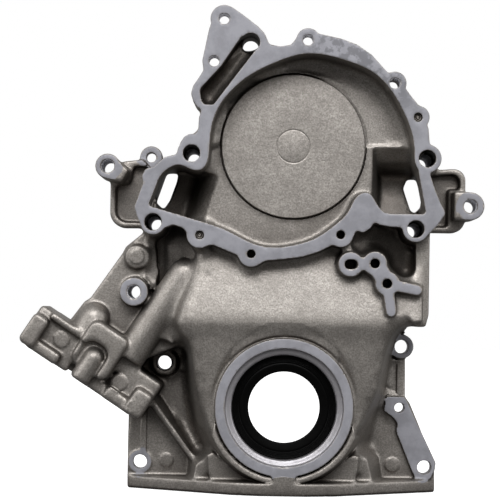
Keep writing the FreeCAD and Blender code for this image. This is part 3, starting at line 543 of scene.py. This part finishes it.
def rounded_casting(sizes):
    """Points, triangles and quads of the casting with moulded corners.

    Inner corners: the surface is moved out by the fillet radius and back in by it.
    Outer edges: it is moved in by the edge radius and back out. Near the case's foot and
    front edges both radii are wide. Milled places keep their sharp edges, and the low
    buttons keep the CAD surface."""
    spacing = sizes.grid / MM * 1.0
    fillet, edge, body_edge = sizes.root_fillet / MM, sizes.edge_round / MM, sizes.pump_edge / MM
    soft_fillet, soft_edge = sizes.soft_fillet / MM, sizes.soft_edge / MM
    points, triangles = casting_triangles()
    coarse, v = Volume.round_box(CAD_BOX, spacing, 4.0)
    soft_feet, soft_edges = soft_fields(points, triangles, coarse, soft_fillet, soft_edge)

    plain = grid_of(points, spacing, fillet / spacing + 4.0, triangles=triangles)
    crisp = v.read(plain)
    outside = offset_again(plain, spacing, fillet, fillet + body_edge)
    filleted = v.read(outside) + fillet
    values = softened(v.read(offset_again(outside, spacing, -fillet - edge)) - edge)
    body = softened(v.read(offset_again(outside, spacing, -fillet - body_edge)) - body_edge)
    values += (body - values) * near_lines(v, OIL_BODY)
    del body

    low = 1.0 - smooth_step(v.h, *SOFT_TO)
    upright = smooth_step(v.h, *SOFT_FROM) * low
    off_columns = np.ones((v.shape[0], 1, v.shape[2]), np.float32)
    for x, y, reach in SHARP_COLUMNS:
        off_columns *= smooth_step(plan_distance(v, x, y), reach, reach + 2.0)
    values += (soft_feet - values) * (near_lines(v, SOFT_FEET) * off_columns * low)
    off_boss = smooth_step(np.hypot(v.x, v.y), BOSS_R + 2.0, BOSS_R + 7.0)
    values += (soft_edges - values) * (near_lines(v, SOFT_EDGES) * off_boss * upright)

    add_low_forms(v, values)
    add_low_forms(v, filleted)
    add_boss_forms(v, values)
    sharpen_milling(v, values, filleted)
    for x, y, radius in BUTTONS:
        near, at = v.part(x - radius - 4, x + radius + 4, 0, 70, y - radius - 4, y + radius + 4)
        keep = 1.0 - smooth_step(plan_distance(near, x, y), radius + 1.0, radius + 3.0)
        values[at] += (crisp[at] - values[at]) * keep
    cut_holes(v, values, sizes.oil_pad / MM)
    return v.surface(values, sizes.merge)


def put_mesh(name, points, faces_by_size, materials):
    """A new mesh object at the origin from points in metres and arrays of faces."""
    mesh = bpy.data.meshes.new(name)
    faces = [f for group in faces_by_size for f in np.asarray(group).tolist()]
    mesh.from_pydata(np.asarray(points, np.float64).tolist(), [], faces)
    for material in materials:
        mesh.materials.append(material)
    mesh.polygons.foreach_set("use_smooth", np.ones(len(faces), bool))
    mesh.update()
    piece = bpy.data.objects.new(name, mesh)
    bpy.context.scene.collection.objects.link(piece)
    return piece


def area_normals(mesh):
    """Gives each vertex the mean of its faces' normals, weighted by their areas, so that
    large flat faces stay flat up to their rounded edges."""
    faces = len(mesh.polygons)
    normals, areas, counts = np.empty(faces * 3), np.empty(faces), np.empty(faces, np.int32)
    mesh.polygons.foreach_get("normal", normals)
    mesh.polygons.foreach_get("area", areas)
    mesh.polygons.foreach_get("loop_total", counts)
    loops = np.empty(len(mesh.loops), np.int32)
    mesh.loops.foreach_get("vertex_index", loops)
    owner = np.repeat(np.arange(faces), counts)
    weighted = normals.reshape(-1, 3) * areas[:, None]
    sums = np.zeros((len(mesh.vertices), 3))
    for k in range(3):
        sums[:, k] = np.bincount(loops, weighted[owner, k], len(mesh.vertices))
    sums /= np.maximum(np.linalg.norm(sums, axis=1), 1e-12)[:, None]
    mesh.normals_split_custom_set_from_vertices(sums.tolist())


def thinned(piece, most):
    """The piece with a mesh of at most that many triangles, by collapsing its shortest edges."""
    count = sum(len(p.vertices) - 2 for p in piece.data.polygons)
    if count > most:
        thin = piece.modifiers.new("thin", "DECIMATE")
        thin.ratio = most / count
        ready = piece.evaluated_get(bpy.context.evaluated_depsgraph_get())
        mesh = bpy.data.meshes.new_from_object(ready)
        piece.modifiers.clear()
        piece.data = mesh


def keep_inside_box(mesh):
    """Moves the points that thinning left just outside the frame's box back onto it."""
    mesh.vertices.foreach_set("co", np.clip(coordinates(mesh), CAD_BOX[0], CAD_BOX[1]).ravel())
    mesh.update()


def point_data(mesh):
    """The x, y and h of a mesh's points in millimetres."""
    points = coordinates(mesh) / MM
    return points[:, 0], points[:, 2], -points[:, 1]


def number_on_points(mesh, name, values):
    """Keeps one number on each point, for the materials."""
    layer = mesh.attributes.new(name, "FLOAT", "POINT")
    layer.data.foreach_set("value", np.asarray(values, np.float32))


# Largest numbers that the points keep: distance below a milled face and outside a bore
BELOW = 4.0
FAR = 9.0
# The bore that the seal sits in, and its foot
SEAL_SEAT_R = 48.0
SEAL_SEAT_FOOT = 49.0


class PlanPoints:
    """A mesh's points in the shape that the plan masks read."""

    def __init__(self, x, y):
        self.x, self.y = x[:, None, None], y[:, None, None]
        self.shape = (len(x), 1, 1)


def mark_finishes(mesh):
    """Writes how far each point is below the milled face of its place, and how far it is
    outside the wall of the nearest bored hole, both in millimetres."""
    x, y, h = point_data(mesh)
    level = np.full(len(x), PUMP_FACE)
    for mask, high in milled_places(PlanPoints(x, y)):
        level = np.where(mask[:, 0, 0] > 0.3, high, level)
    number_on_points(mesh, "below_milling", np.where(h < 1.0, h, np.clip(level - h, -BELOW, BELOW)))
    outside = np.full(len(x), FAR)
    for _, kind, hole_x, hole_y, radius, _, _ in straight_holes():
        if kind == "bore":
            outside = np.minimum(outside, np.hypot(x - hole_x, y - hole_y) - radius)
    seat = np.where(h > SEAL_SEAT_FOOT, np.hypot(x, y) - SEAL_SEAT_R, FAR)
    number_on_points(mesh, "outside_bore", np.minimum(outside, seat))


def mark_as_cast(mesh):
    """Marks every point as cast skin, away from milling and bores."""
    number_on_points(mesh, "below_milling", np.full(len(mesh.vertices), BELOW))
    number_on_points(mesh, "outside_bore", np.full(len(mesh.vertices), FAR))


class COVER_OT_casting(bpy.types.Operator):
    """The die casting, with moulded corners and milled faces"""

    bl_idname = "cover.casting"
    bl_label = "Casting"

    def execute(self, context):
        sizes = context.scene.cover_sizes
        points, triangles, quads = rounded_casting(sizes)
        low, high = (np.array(corner) / MM for corner in CAD_BOX)
        piece = put_mesh("cover_body", np.clip(points, low, high) * MM, [triangles, quads], [cast_metal()])
        thinned(piece, sizes.faces)
        mesh = piece.data
        keep_inside_box(mesh)
        mark_finishes(mesh)
        area_normals(mesh)
        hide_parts("cover_casting")
        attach(piece, "root")
        return {"FINISHED"}


class COVER_OT_pad(bpy.types.Operator):
    """The round pad in the volute with its centre mark, and the ringed bottoms of two holes"""

    bl_idname = "cover.pad"
    bl_label = "Pump pad"

    def execute(self, context):
        top, foot, mark = PAD_FACE, PAD_FOOT - 0.6, PAD_MARK_R
        profile = [
            (0.01, foot), (0.01, top), (mark - 1.0, top), (mark - 0.45, top - 0.5),
            (mark + 0.45, top - 0.5), (mark + 1.0, top), (PAD_R * 0.6, top), (PAD_R - 0.7, top),
            (PAD_R - 0.2, top - 0.15), (PAD_R, top - 0.6), (PAD_R + 0.15, foot)]
        metal = cast_metal()
        piece = turned("pump_pad", profile[::-1], metal, centre=PUMP_AXIS)
        mark_as_cast(piece.data)
        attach(piece, "root")
        face = PUMP_FACE - HOLE_BOTTOM_DEPTH
        rings = [
            (0.01, face - 2.0), (0.01, face - 0.5), (0.6, face), (1.3, face), (1.6, face - 0.5),
            (2.0, face - 0.5), (2.3, face), (2.9, face), (3.3, face - 0.6), (3.7, face - 0.6),
            (3.7, face - 2.0)]
        for side, centre in zip(("left", "right"), HOLE_BOTTOMS):
            piece = turned("hole_bottom_" + side, rings[::-1], metal, 64, centre)
            mark_as_cast(piece.data)
            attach(piece, "root")
        return {"FINISHED"}


# Turned pieces


def turned(name, profile, material, steps=192, centre=(0.0, 0.0)):
    """A closed surface of revolution about an axis along h. The profile is a closed run of
    (radius, height) points; point (i, j) is profile point i turned by 2 pi j / steps."""
    profile = np.array(profile, float)
    n = len(profile)
    turn = np.arange(steps) * 2 * math.pi / steps
    points = np.empty((n, steps, 3))
    points[..., 0] = centre[0] + profile[:, :1] * np.cos(turn)
    points[..., 1] = -profile[:, 1:]
    points[..., 2] = centre[1] + profile[:, :1] * np.sin(turn)
    piece = put_mesh(name, points.reshape(-1, 3) * MM, [wrapped_quads(n, steps)], [material])
    area_normals(piece.data)
    return piece


def wrapped_quads(n, m):
    """Quads of an n by m grid of points that closes on itself both ways."""
    i, j = np.meshgrid(np.arange(n), np.arange(m), indexing="ij")
    a, b = i * m + j, i * m + (j + 1) % m
    c, d = (i + 1) % n * m + (j + 1) % m, (i + 1) % n * m + j
    return np.stack([a, b, c, d], -1).reshape(-1, 4)


def ribbed(start, end, count, height):
    """Points from start to end in a straight run with count low round ribs on it: the
    height is the square of the sine of count half turns."""
    t = np.linspace(0.0, 1.0, count * 8 + 1)
    start, end = np.array(start, float), np.array(end, float)
    run = start + (end - start) * t[:, None]
    run[:, 1] += height * np.sin(t * math.pi * count) ** 2
    return run.tolist()


class COVER_OT_seal(bpy.types.Operator):
    """The crank seal: its rubber-covered case, lip and spring"""

    bl_idname = "cover.seal"
    bl_label = "Crank seal"

    def execute(self, context):
        rubber = seal_rubber()
        web = LIP_R + 7.2
        front, back = SEAL_FRONT, SEAL_BACK
        case = [(SEAL_R, back), (SEAL_R, front - 1.2), (SEAL_R - 0.35, front - 0.35),
                (SEAL_R - 1.2, front - 0.05)]
        case += ribbed((SEAL_R - 1.6, front - 0.4), (web + 0.4, front - 0.4), 4, 0.35)
        case += [(web, front - 0.6), (web, front - 1.2), (SEAL_R - 1.2, front - 1.2),
                 (SEAL_R - 1.2, back)]
        piece = turned("seal_cover", case[::-1], rubber)
        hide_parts("seal_case")
        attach(piece, "root")
        lip = [(web, front - 0.45), (web - 1.6, front - 0.3), (LIP_R + 3.4, front - 0.9),
               (LIP_R + 1.0, front - 1.1), (LIP_R + 0.25, front - 1.5), (LIP_R, front - 2.3),
               (LIP_R, front - 7.0), (LIP_R + 0.9, front - 8.6), (LIP_R + 2.2, back),
               (LIP_R + 4.2, back), (LIP_R + 4.2, front - 2.7), (web, front - 1.2)]
        piece = turned("seal_lip_rubber", lip[::-1], rubber)
        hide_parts("seal_lip")
        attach(piece, "root")
        spring = frame["nodes"]["garter_spring"]
        spring.data.materials.clear()
        spring.data.materials.append(spring_steel())
        return {"FINISHED"}


# Threads


# Starts of the names of the holes with threads
THROUGH_HOLES = ("long_bolt", "block_bolt_hole_left_ear", "block_bolt_hole_right_ear",
                 "block_bolt_hole_bank", "pump_screw_hole")
BLIND_HOLES = ("pump_tapped",)
# Length without threads at either end of a hole, and how deep a sleeve's back is in the metal
THREAD_END = 2.0
SLEEVE_BACK = 0.5


def thread_sleeve(x, y, low, high, radius, pitch, depth, steps=40):
    """Thread crests inside a hole, as a thin closed sleeve whose back is in the metal. At
    turn a and height h the inner radius is the hole's radius less depth times w, the
    triangle wave of (h / pitch + a / 2 pi), stretched to 1.4 w - 0.3 and clipped to 0..1
    so that crests and roots are flat."""
    rows = max(8, int((high - low) / pitch * 6))
    h = np.linspace(low, high, rows)[:, None]
    turn = (np.arange(steps) * 2 * math.pi / steps)[None, :]
    wave = np.abs(((h / pitch + turn / (2 * math.pi)) % 1.0) * 2 - 1)
    inner = radius - depth * np.clip(1.4 * wave - 0.3, 0, 1)
    inner[0] = inner[-1] = radius
    radii = np.vstack([inner, np.full((2, steps), radius + SLEEVE_BACK)])
    ends = [np.full((1, steps), high), np.full((1, steps), low)]
    heights = np.vstack([np.broadcast_to(h, inner.shape)] + ends)
    points = np.empty(radii.shape + (3,))
    points[..., 0] = x + radii * np.cos(turn)
    points[..., 1] = -heights
    points[..., 2] = y + radii * np.sin(turn)
    quads = wrapped_quads(*radii.shape)
    return points.reshape(-1, 3) * MM, quads


class COVER_OT_threads(bpy.types.Operator):
    """Thread crests in the tapped holes and the bolt holes"""

    bl_idname = "cover.threads"
    bl_label = "Threads"

    def execute(self, context):
        sizes = context.scene.cover_sizes
        pitch, depth = sizes.thread_pitch / MM, sizes.thread_depth / MM
        # The threads of the blind tapped holes get a near-black metal, which is painted shade.
        for piece_name, starts, material in (("hole_threads", THROUGH_HOLES, bored_metal()),
                                             ("blind_threads", BLIND_HOLES, blind_shade_metal())):
            all_points, all_quads, count = [], [], 0
            for name, _, x, y, radius, middle, length in straight_holes():
                if not name.startswith(starts):
                    continue
                low, high = middle - length / 2 + THREAD_END, middle + length / 2 - THREAD_END
                points, quads = thread_sleeve(x, y, low, high, radius, pitch, depth)
                all_points.append(points)
                all_quads.append(quads + count)
                count += len(points)
            piece = put_mesh(piece_name, np.vstack(all_points), [np.vstack(all_quads)], [material])
            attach(piece, "root")
        return {"FINISHED"}


# Finishes


class Shader:
    """Builds one material's nodes."""

    def __init__(self, name, **principled):
        self.material = bpy.data.materials.new(name)
        self.material.use_nodes = True
        self.tree = self.material.node_tree
        self.nodes = self.tree.nodes
        self.surface = self.nodes["Principled BSDF"]
        self.place = self.nodes.new("ShaderNodeTexCoord").outputs["Object"]
        for key, value in principled.items():
            self.fill(self.surface.inputs[key.replace("_", " ")], value)

    def link(self, output, to):
        """Links an output socket to an input socket."""
        self.tree.links.new(output, to)

    def fill(self, socket, value):
        """Gives an input socket a number or a colour, or links it to an output socket."""
        if isinstance(value, bpy.types.NodeSocket):
            self.link(value, socket)
        else:
            socket.default_value = (*value, 1.0) if isinstance(value, tuple) else value

    def noise(self, size_mm, detail=3.0, rough=0.55):
        """Noise whose blobs are about size_mm across."""
        node = self.nodes.new("ShaderNodeTexNoise")
        node.inputs["Scale"].default_value = 1.0 / (size_mm * MM)
        node.inputs["Detail"].default_value = detail
        node.inputs["Roughness"].default_value = rough
        self.link(self.place, node.inputs["Vector"])
        return node.outputs["Fac"]

    def ramp(self, value, low, high, to_low=0.0, to_high=1.0):
        """Maps low..high to to_low..to_high, and clamps."""
        node = self.nodes.new("ShaderNodeMapRange")
        self.link(value, node.inputs["Value"])
        limits = {"From Min": low, "From Max": high, "To Min": to_low, "To Max": to_high}
        for key, number in limits.items():
            node.inputs[key].default_value = number
        return node.outputs["Result"]

    def mix(self, amount, a, b, kind="RGBA"):
        """a where amount is 0, b where it is 1. Both are colours, or numbers where the kind
        is FLOAT, or sockets that give them."""
        node = self.nodes.new("ShaderNodeMix")
        node.data_type = kind
        self.link(amount, node.inputs["Factor"])
        self.fill(node.inputs["A"], a)
        self.fill(node.inputs["B"], b)
        return node.outputs["Result"]

    def math(self, kind, a, b):
        """The sum, product or other combination of two numbers or sockets."""
        node = self.nodes.new("ShaderNodeMath")
        node.operation = kind
        for socket, value in zip(node.inputs, (a, b)):
            self.fill(socket, value)
        return node.outputs["Value"]

    def far_from(self, point):
        """Distance from a point of the object, in metres."""
        node = self.nodes.new("ShaderNodeVectorMath")
        node.operation = "DISTANCE"
        self.link(self.place, node.inputs[0])
        node.inputs[1].default_value = point
        return node.outputs["Value"]

    def attribute(self, name):
        """The number that the mesh's points keep under that name."""
        node = self.nodes.new("ShaderNodeAttribute")
        node.attribute_name = name
        return node.outputs["Fac"]

    def faces_front_or_back(self):
        """1 where the surface faces along y, either way, and 0 on the walls."""
        split = self.nodes.new("ShaderNodeSeparateXYZ")
        self.link(self.nodes.new("ShaderNodeNewGeometry").outputs["Normal"], split.inputs["Vector"])
        return self.ramp(self.math("ABSOLUTE", split.outputs["Y"], 0.0), 0.6, 0.85)

    def closeness(self, reach_mm):
        """0 in a deep corner, 1 in the open, judged within that reach."""
        node = self.nodes.new("ShaderNodeAmbientOcclusion")
        node.samples = 8
        node.inputs["Distance"].default_value = reach_mm * MM
        return node.outputs["AO"]

    def bump(self, height, distance_mm, strength):
        """Tilts the surface's shading as if it rose by that distance where height is 1."""
        node = self.nodes.new("ShaderNodeBump")
        node.inputs["Distance"].default_value = distance_mm * MM
        node.inputs["Strength"].default_value = strength
        self.link(height, node.inputs["Height"])
        self.link(node.outputs["Normal"], self.surface.inputs["Normal"])


def dimmed(colour, share):
    """The colour at that share of its strength."""
    return tuple(share * c for c in colour)


def cast_metal():
    """Die-cast skin with milled and bored places. The skin has warm grey clouds, fine
    speckle and a slightly pebbled surface, and painted shade: it darkens to brown in
    deep corners by ambient occlusion. Where the point is level with its place's milling
    and the surface faces along y, the metal is cool grey with faint wide clouds and
    stains. Just outside a bore it is bright."""
    finish = bpy.context.scene.cover_finishes
    cast, dark, corner_shade = tuple(finish.cast), tuple(finish.cast_dark), tuple(finish.corner_shade)
    machined = tuple(finish.machined)
    s = Shader("cast_and_milled")
    level = s.ramp(s.attribute("below_milling"), 0.10, 0.28, 1.0, 0.0)
    milled = s.math("MULTIPLY", level, s.faces_front_or_back())
    bored = s.ramp(s.attribute("outside_bore"), 0.05, 0.25, 1.0, 0.0)

    clouds = s.ramp(s.noise(24.0, 4.0), 0.35, 0.68)
    skin = s.mix(clouds, cast, tuple(0.5 * a + 0.5 * b for a, b in zip(cast, dark)))
    blotches = s.math("MULTIPLY", s.ramp(s.noise(7.0, 4.0, 0.6), 0.42, 0.66), 0.4)
    skin = s.mix(blotches, skin, dark)
    speckle = s.ramp(s.noise(1.3, 3.0, 0.7), 0.36, 0.62)
    skin = s.mix(s.math("MULTIPLY", speckle, 0.8), skin, dimmed(dark, 0.8))
    # Painted shade: ambient occlusion within 40 mm and within 3.5 mm mixes the skin towards the dark
    # corner colour.
    skin = s.mix(s.ramp(s.closeness(40.0), 0.19, 0.80), corner_shade, skin)
    skin = s.mix(s.ramp(s.closeness(3.5), 0.3, 0.88), corner_shade, skin)

    stain = s.ramp(s.noise(15.0, 6.0, 0.65), 0.42, 0.62)
    face = s.mix(stain, machined, dimmed(machined, 0.8))
    near = s.ramp(s.far_from(STAIN_CENTRE), 0.036, 0.062, 1.0, 0.0)
    damp = s.math("MULTIPLY", s.ramp(s.noise(8.0, 5.0, 0.6), 0.47, 0.55), near)
    face = s.mix(s.math("MULTIPLY", damp, 0.8), face, dimmed(machined, 0.5))
    colour = s.mix(bored, s.mix(milled, skin, face), tuple(finish.bored))
    s.link(colour, s.surface.inputs["Base Color"])

    rough = s.ramp(s.noise(5.0, 3.0), 0.3, 0.7, 0.42, 0.50)
    rough = s.mix(milled, rough, s.ramp(s.noise(7.0, 4.0), 0.3, 0.7, 0.50, 0.60), "FLOAT")
    s.link(s.mix(bored, rough, 0.45, "FLOAT"), s.surface.inputs["Roughness"])
    s.link(s.mix(milled, 0.85, 0.15, "FLOAT"), s.surface.inputs["Metallic"])
    pebbles = s.math("ADD", s.noise(1.2, 3.0, 0.6), s.noise(4.0, 2.0))
    pebbles = s.math("MULTIPLY", pebbles, s.ramp(milled, 0.0, 1.0, 1.0, 0.08))
    s.bump(pebbles, 0.16, 0.7)
    return s.material


def bored_metal():
    """Bright drilled and reamed walls."""
    s = Shader("bored_wall", Metallic=0.5, Base_Color=(0.8, 0.8, 0.83))
    s.link(s.ramp(s.noise(2.0, 3.0), 0.3, 0.7, 0.4, 0.5), s.surface.inputs["Roughness"])
    return s.material


def blind_shade_metal():
    """Walls of the blind tapped holes, painted near black as painted shade for the shadow inside them."""
    s = Shader("blind_wall_shade", Metallic=0.6, Base_Color=(0.035, 0.033, 0.032))
    s.link(s.ramp(s.noise(2.0, 3.0), 0.3, 0.7, 0.4, 0.55), s.surface.inputs["Roughness"])
    return s.material


def seal_rubber():
    """Black moulded rubber with a dull sheen."""
    finish = bpy.context.scene.cover_finishes
    s = Shader("seal_rubber", Base_Color=tuple(finish.rubber), Specular_IOR_Level=0.05)
    s.link(s.ramp(s.noise(4.0, 3.0), 0.3, 0.7, 0.3, 0.42), s.surface.inputs["Roughness"])
    s.bump(s.noise(0.5, 2.0), 0.02, 0.4)
    return s.material


def spring_steel():
    """Bright wound wire."""
    s = Shader("spring_steel", Metallic=1.0, Base_Color=(0.6, 0.6, 0.6))
    s.link(s.ramp(s.noise(1.0, 2.0), 0.3, 0.7, 0.25, 0.4), s.surface.inputs["Roughness"])
    return s.material


# Studio


# What the lights point at, and each light's name, place, width and height
LIT_PLACE = (-0.02, -0.04, 0.12)
FRONT_BOX = ("front_box", (-0.1, -1.8, 1.4), (1.9, 0.8))
LEFT_LIGHT = ("left_light", (-1.3, -0.7, 0.6), (0.5, 1.2))
RIGHT_LIGHT = ("right_light", (1.3, -0.7, 0.6), (0.5, 1.2))
# Heights of a ray's direction between which the tent brightens
HORIZON = (-0.3, 0.45)
# Floor: half its width, and how far it is below the cover
FLOOR_REACH = 6.0
FLOOR_GAP = 0.0005
CAMERA_SHIFT = (-0.01, 0.12)


def area_light(name, place, size, power):
    """A rectangular soft light that points at the cover."""
    data = bpy.data.lights.new(name, "AREA")
    data.shape = "RECTANGLE"
    data.size, data.size_y = size
    data.energy = power
    light = bpy.data.objects.new(name, data)
    turn = (Vector(LIT_PLACE) - Vector(place)).to_track_quat("-Z", "Y").to_matrix().to_4x4()
    light.matrix_world = Matrix.Translation(place) @ turn
    bpy.context.scene.collection.objects.link(light)


def light_tent(studio):
    """A white backdrop for the camera. For the metal it is a tent that is dark below the
    horizon and brighter with the height of the ray's direction."""
    world = bpy.data.worlds.new("light_tent")
    world.use_nodes = True
    nodes, links = world.node_tree.nodes, world.node_tree.links
    backdrop = nodes["Background"]
    backdrop.inputs["Color"].default_value = (1.0, 1.0, 1.0, 1.0)
    backdrop.inputs["Strength"].default_value = 1.0
    way = nodes.new("ShaderNodeTexCoord")
    split = nodes.new("ShaderNodeSeparateXYZ")
    rise = nodes.new("ShaderNodeMapRange")
    rise.interpolation_type = "SMOOTHSTEP"
    keys = ("From Min", "From Max", "To Min", "To Max")
    for key, number in zip(keys, HORIZON + (studio.ground, studio.sky)):
        rise.inputs[key].default_value = number
    tent = nodes.new("ShaderNodeBackground")
    tent.inputs["Color"].default_value = (1.0, 0.99, 0.975, 1.0)
    seen = nodes.new("ShaderNodeLightPath")
    choice = nodes.new("ShaderNodeMixShader")
    links.new(way.outputs["Generated"], split.inputs["Vector"])
    links.new(split.outputs["Z"], rise.inputs["Value"])
    links.new(rise.outputs["Result"], tent.inputs["Strength"])
    links.new(seen.outputs["Is Camera Ray"], choice.inputs["Fac"])
    links.new(tent.outputs["Background"], choice.inputs[1])
    links.new(backdrop.outputs["Background"], choice.inputs[2])
    links.new(choice.outputs["Shader"], nodes["World Output"].inputs["Surface"])
    return world


class COVER_OT_studio(bpy.types.Operator):
    """Floor, light tent and camera"""

    bl_idname = "cover.studio"
    bl_label = "Studio"

    def execute(self, context):
        scene = context.scene
        studio = scene.cover_studio
        floor_z = CAD_BOX[0].z - FLOOR_GAP
        turns = ((-1, -1), (1, -1), (1, 1), (-1, 1))
        corners = [(x * FLOOR_REACH, y * FLOOR_REACH, floor_z) for x, y in turns]
        s = Shader("pale_floor", Roughness=0.9, Emission_Color=(1.0, 1.0, 1.0), Emission_Strength=0.9)
        tone = s.mix(s.noise(400.0, 2.0), (0.9, 0.9, 0.9), (0.88, 0.88, 0.88))
        s.link(tone, s.surface.inputs["Base Color"])
        floor = put_mesh("studio_floor", corners, [[(0, 1, 2, 3)]], [s.material])
        floor.visible_diffuse = False
        floor.visible_glossy = False
        scene.world = light_tent(studio)
        area_light(*FRONT_BOX, studio.key)
        area_light(*LEFT_LIGHT, studio.side_key)
        area_light(*RIGHT_LIGHT, studio.side_key)
        data = bpy.data.cameras.new("camera")
        data.sensor_width = 36.0
        data.lens = studio.lens
        data.shift_x, data.shift_y = CAMERA_SHIFT
        data.clip_end = 20.0
        camera = bpy.data.objects.new("camera", data)
        c, r = math.cos(studio.roll), math.sin(studio.roll)
        turn = Matrix(((c, -r, 0.0), (0.0, 0.0, -1.0), (r, c, 0.0))).to_4x4()
        place = (-studio.side, -studio.distance, studio.height)
        camera.matrix_world = Matrix.Translation(place) @ turn
        scene.collection.objects.link(camera)
        scene.camera = camera
        scene.view_settings.view_transform = "Standard"
        scene.view_settings.look = "None"
        return {"FINISHED"}


class COVER_PT_panel(bpy.types.Panel):
    """Lists the sizes, finishes and pieces of the cover"""

    bl_idname = "COVER_PT_panel"
    bl_label = "Timing Cover"
    bl_space_type = "VIEW_3D"
    bl_region_type = "UI"
    bl_category = "Timing Cover"

    def draw(self, context):
        for name, _ in GROUPS:
            group = getattr(context.scene, name)
            box = self.layout.box()
            for key in group.__annotations__:
                box.prop(group, key)
        for step in STEPS:
            self.layout.operator(step.bl_idname)


GROUPS = (("cover_sizes", CoverSizes), ("cover_finishes", CoverFinishes), ("cover_studio", CoverStudio))
STEPS = (COVER_OT_casting, COVER_OT_pad, COVER_OT_threads, COVER_OT_seal, COVER_OT_studio)


def register():
    for name, group in GROUPS:
        bpy.utils.register_class(group)
        setattr(bpy.types.Scene, name, PointerProperty(type=group))
    for item in STEPS + (COVER_PT_panel,):
        bpy.utils.register_class(item)


def unregister():
    for item in (COVER_PT_panel,) + STEPS[::-1]:
        bpy.utils.unregister_class(item)
    for name, group in GROUPS[::-1]:
        delattr(bpy.types.Scene, name)
        bpy.utils.unregister_class(group)


def main():
    register()
    bpy.ops.cover.casting()
    bpy.ops.cover.pad()
    bpy.ops.cover.threads()
    bpy.ops.cover.seal()
    bpy.ops.cover.studio()


if __name__ == "__main__":
    main()
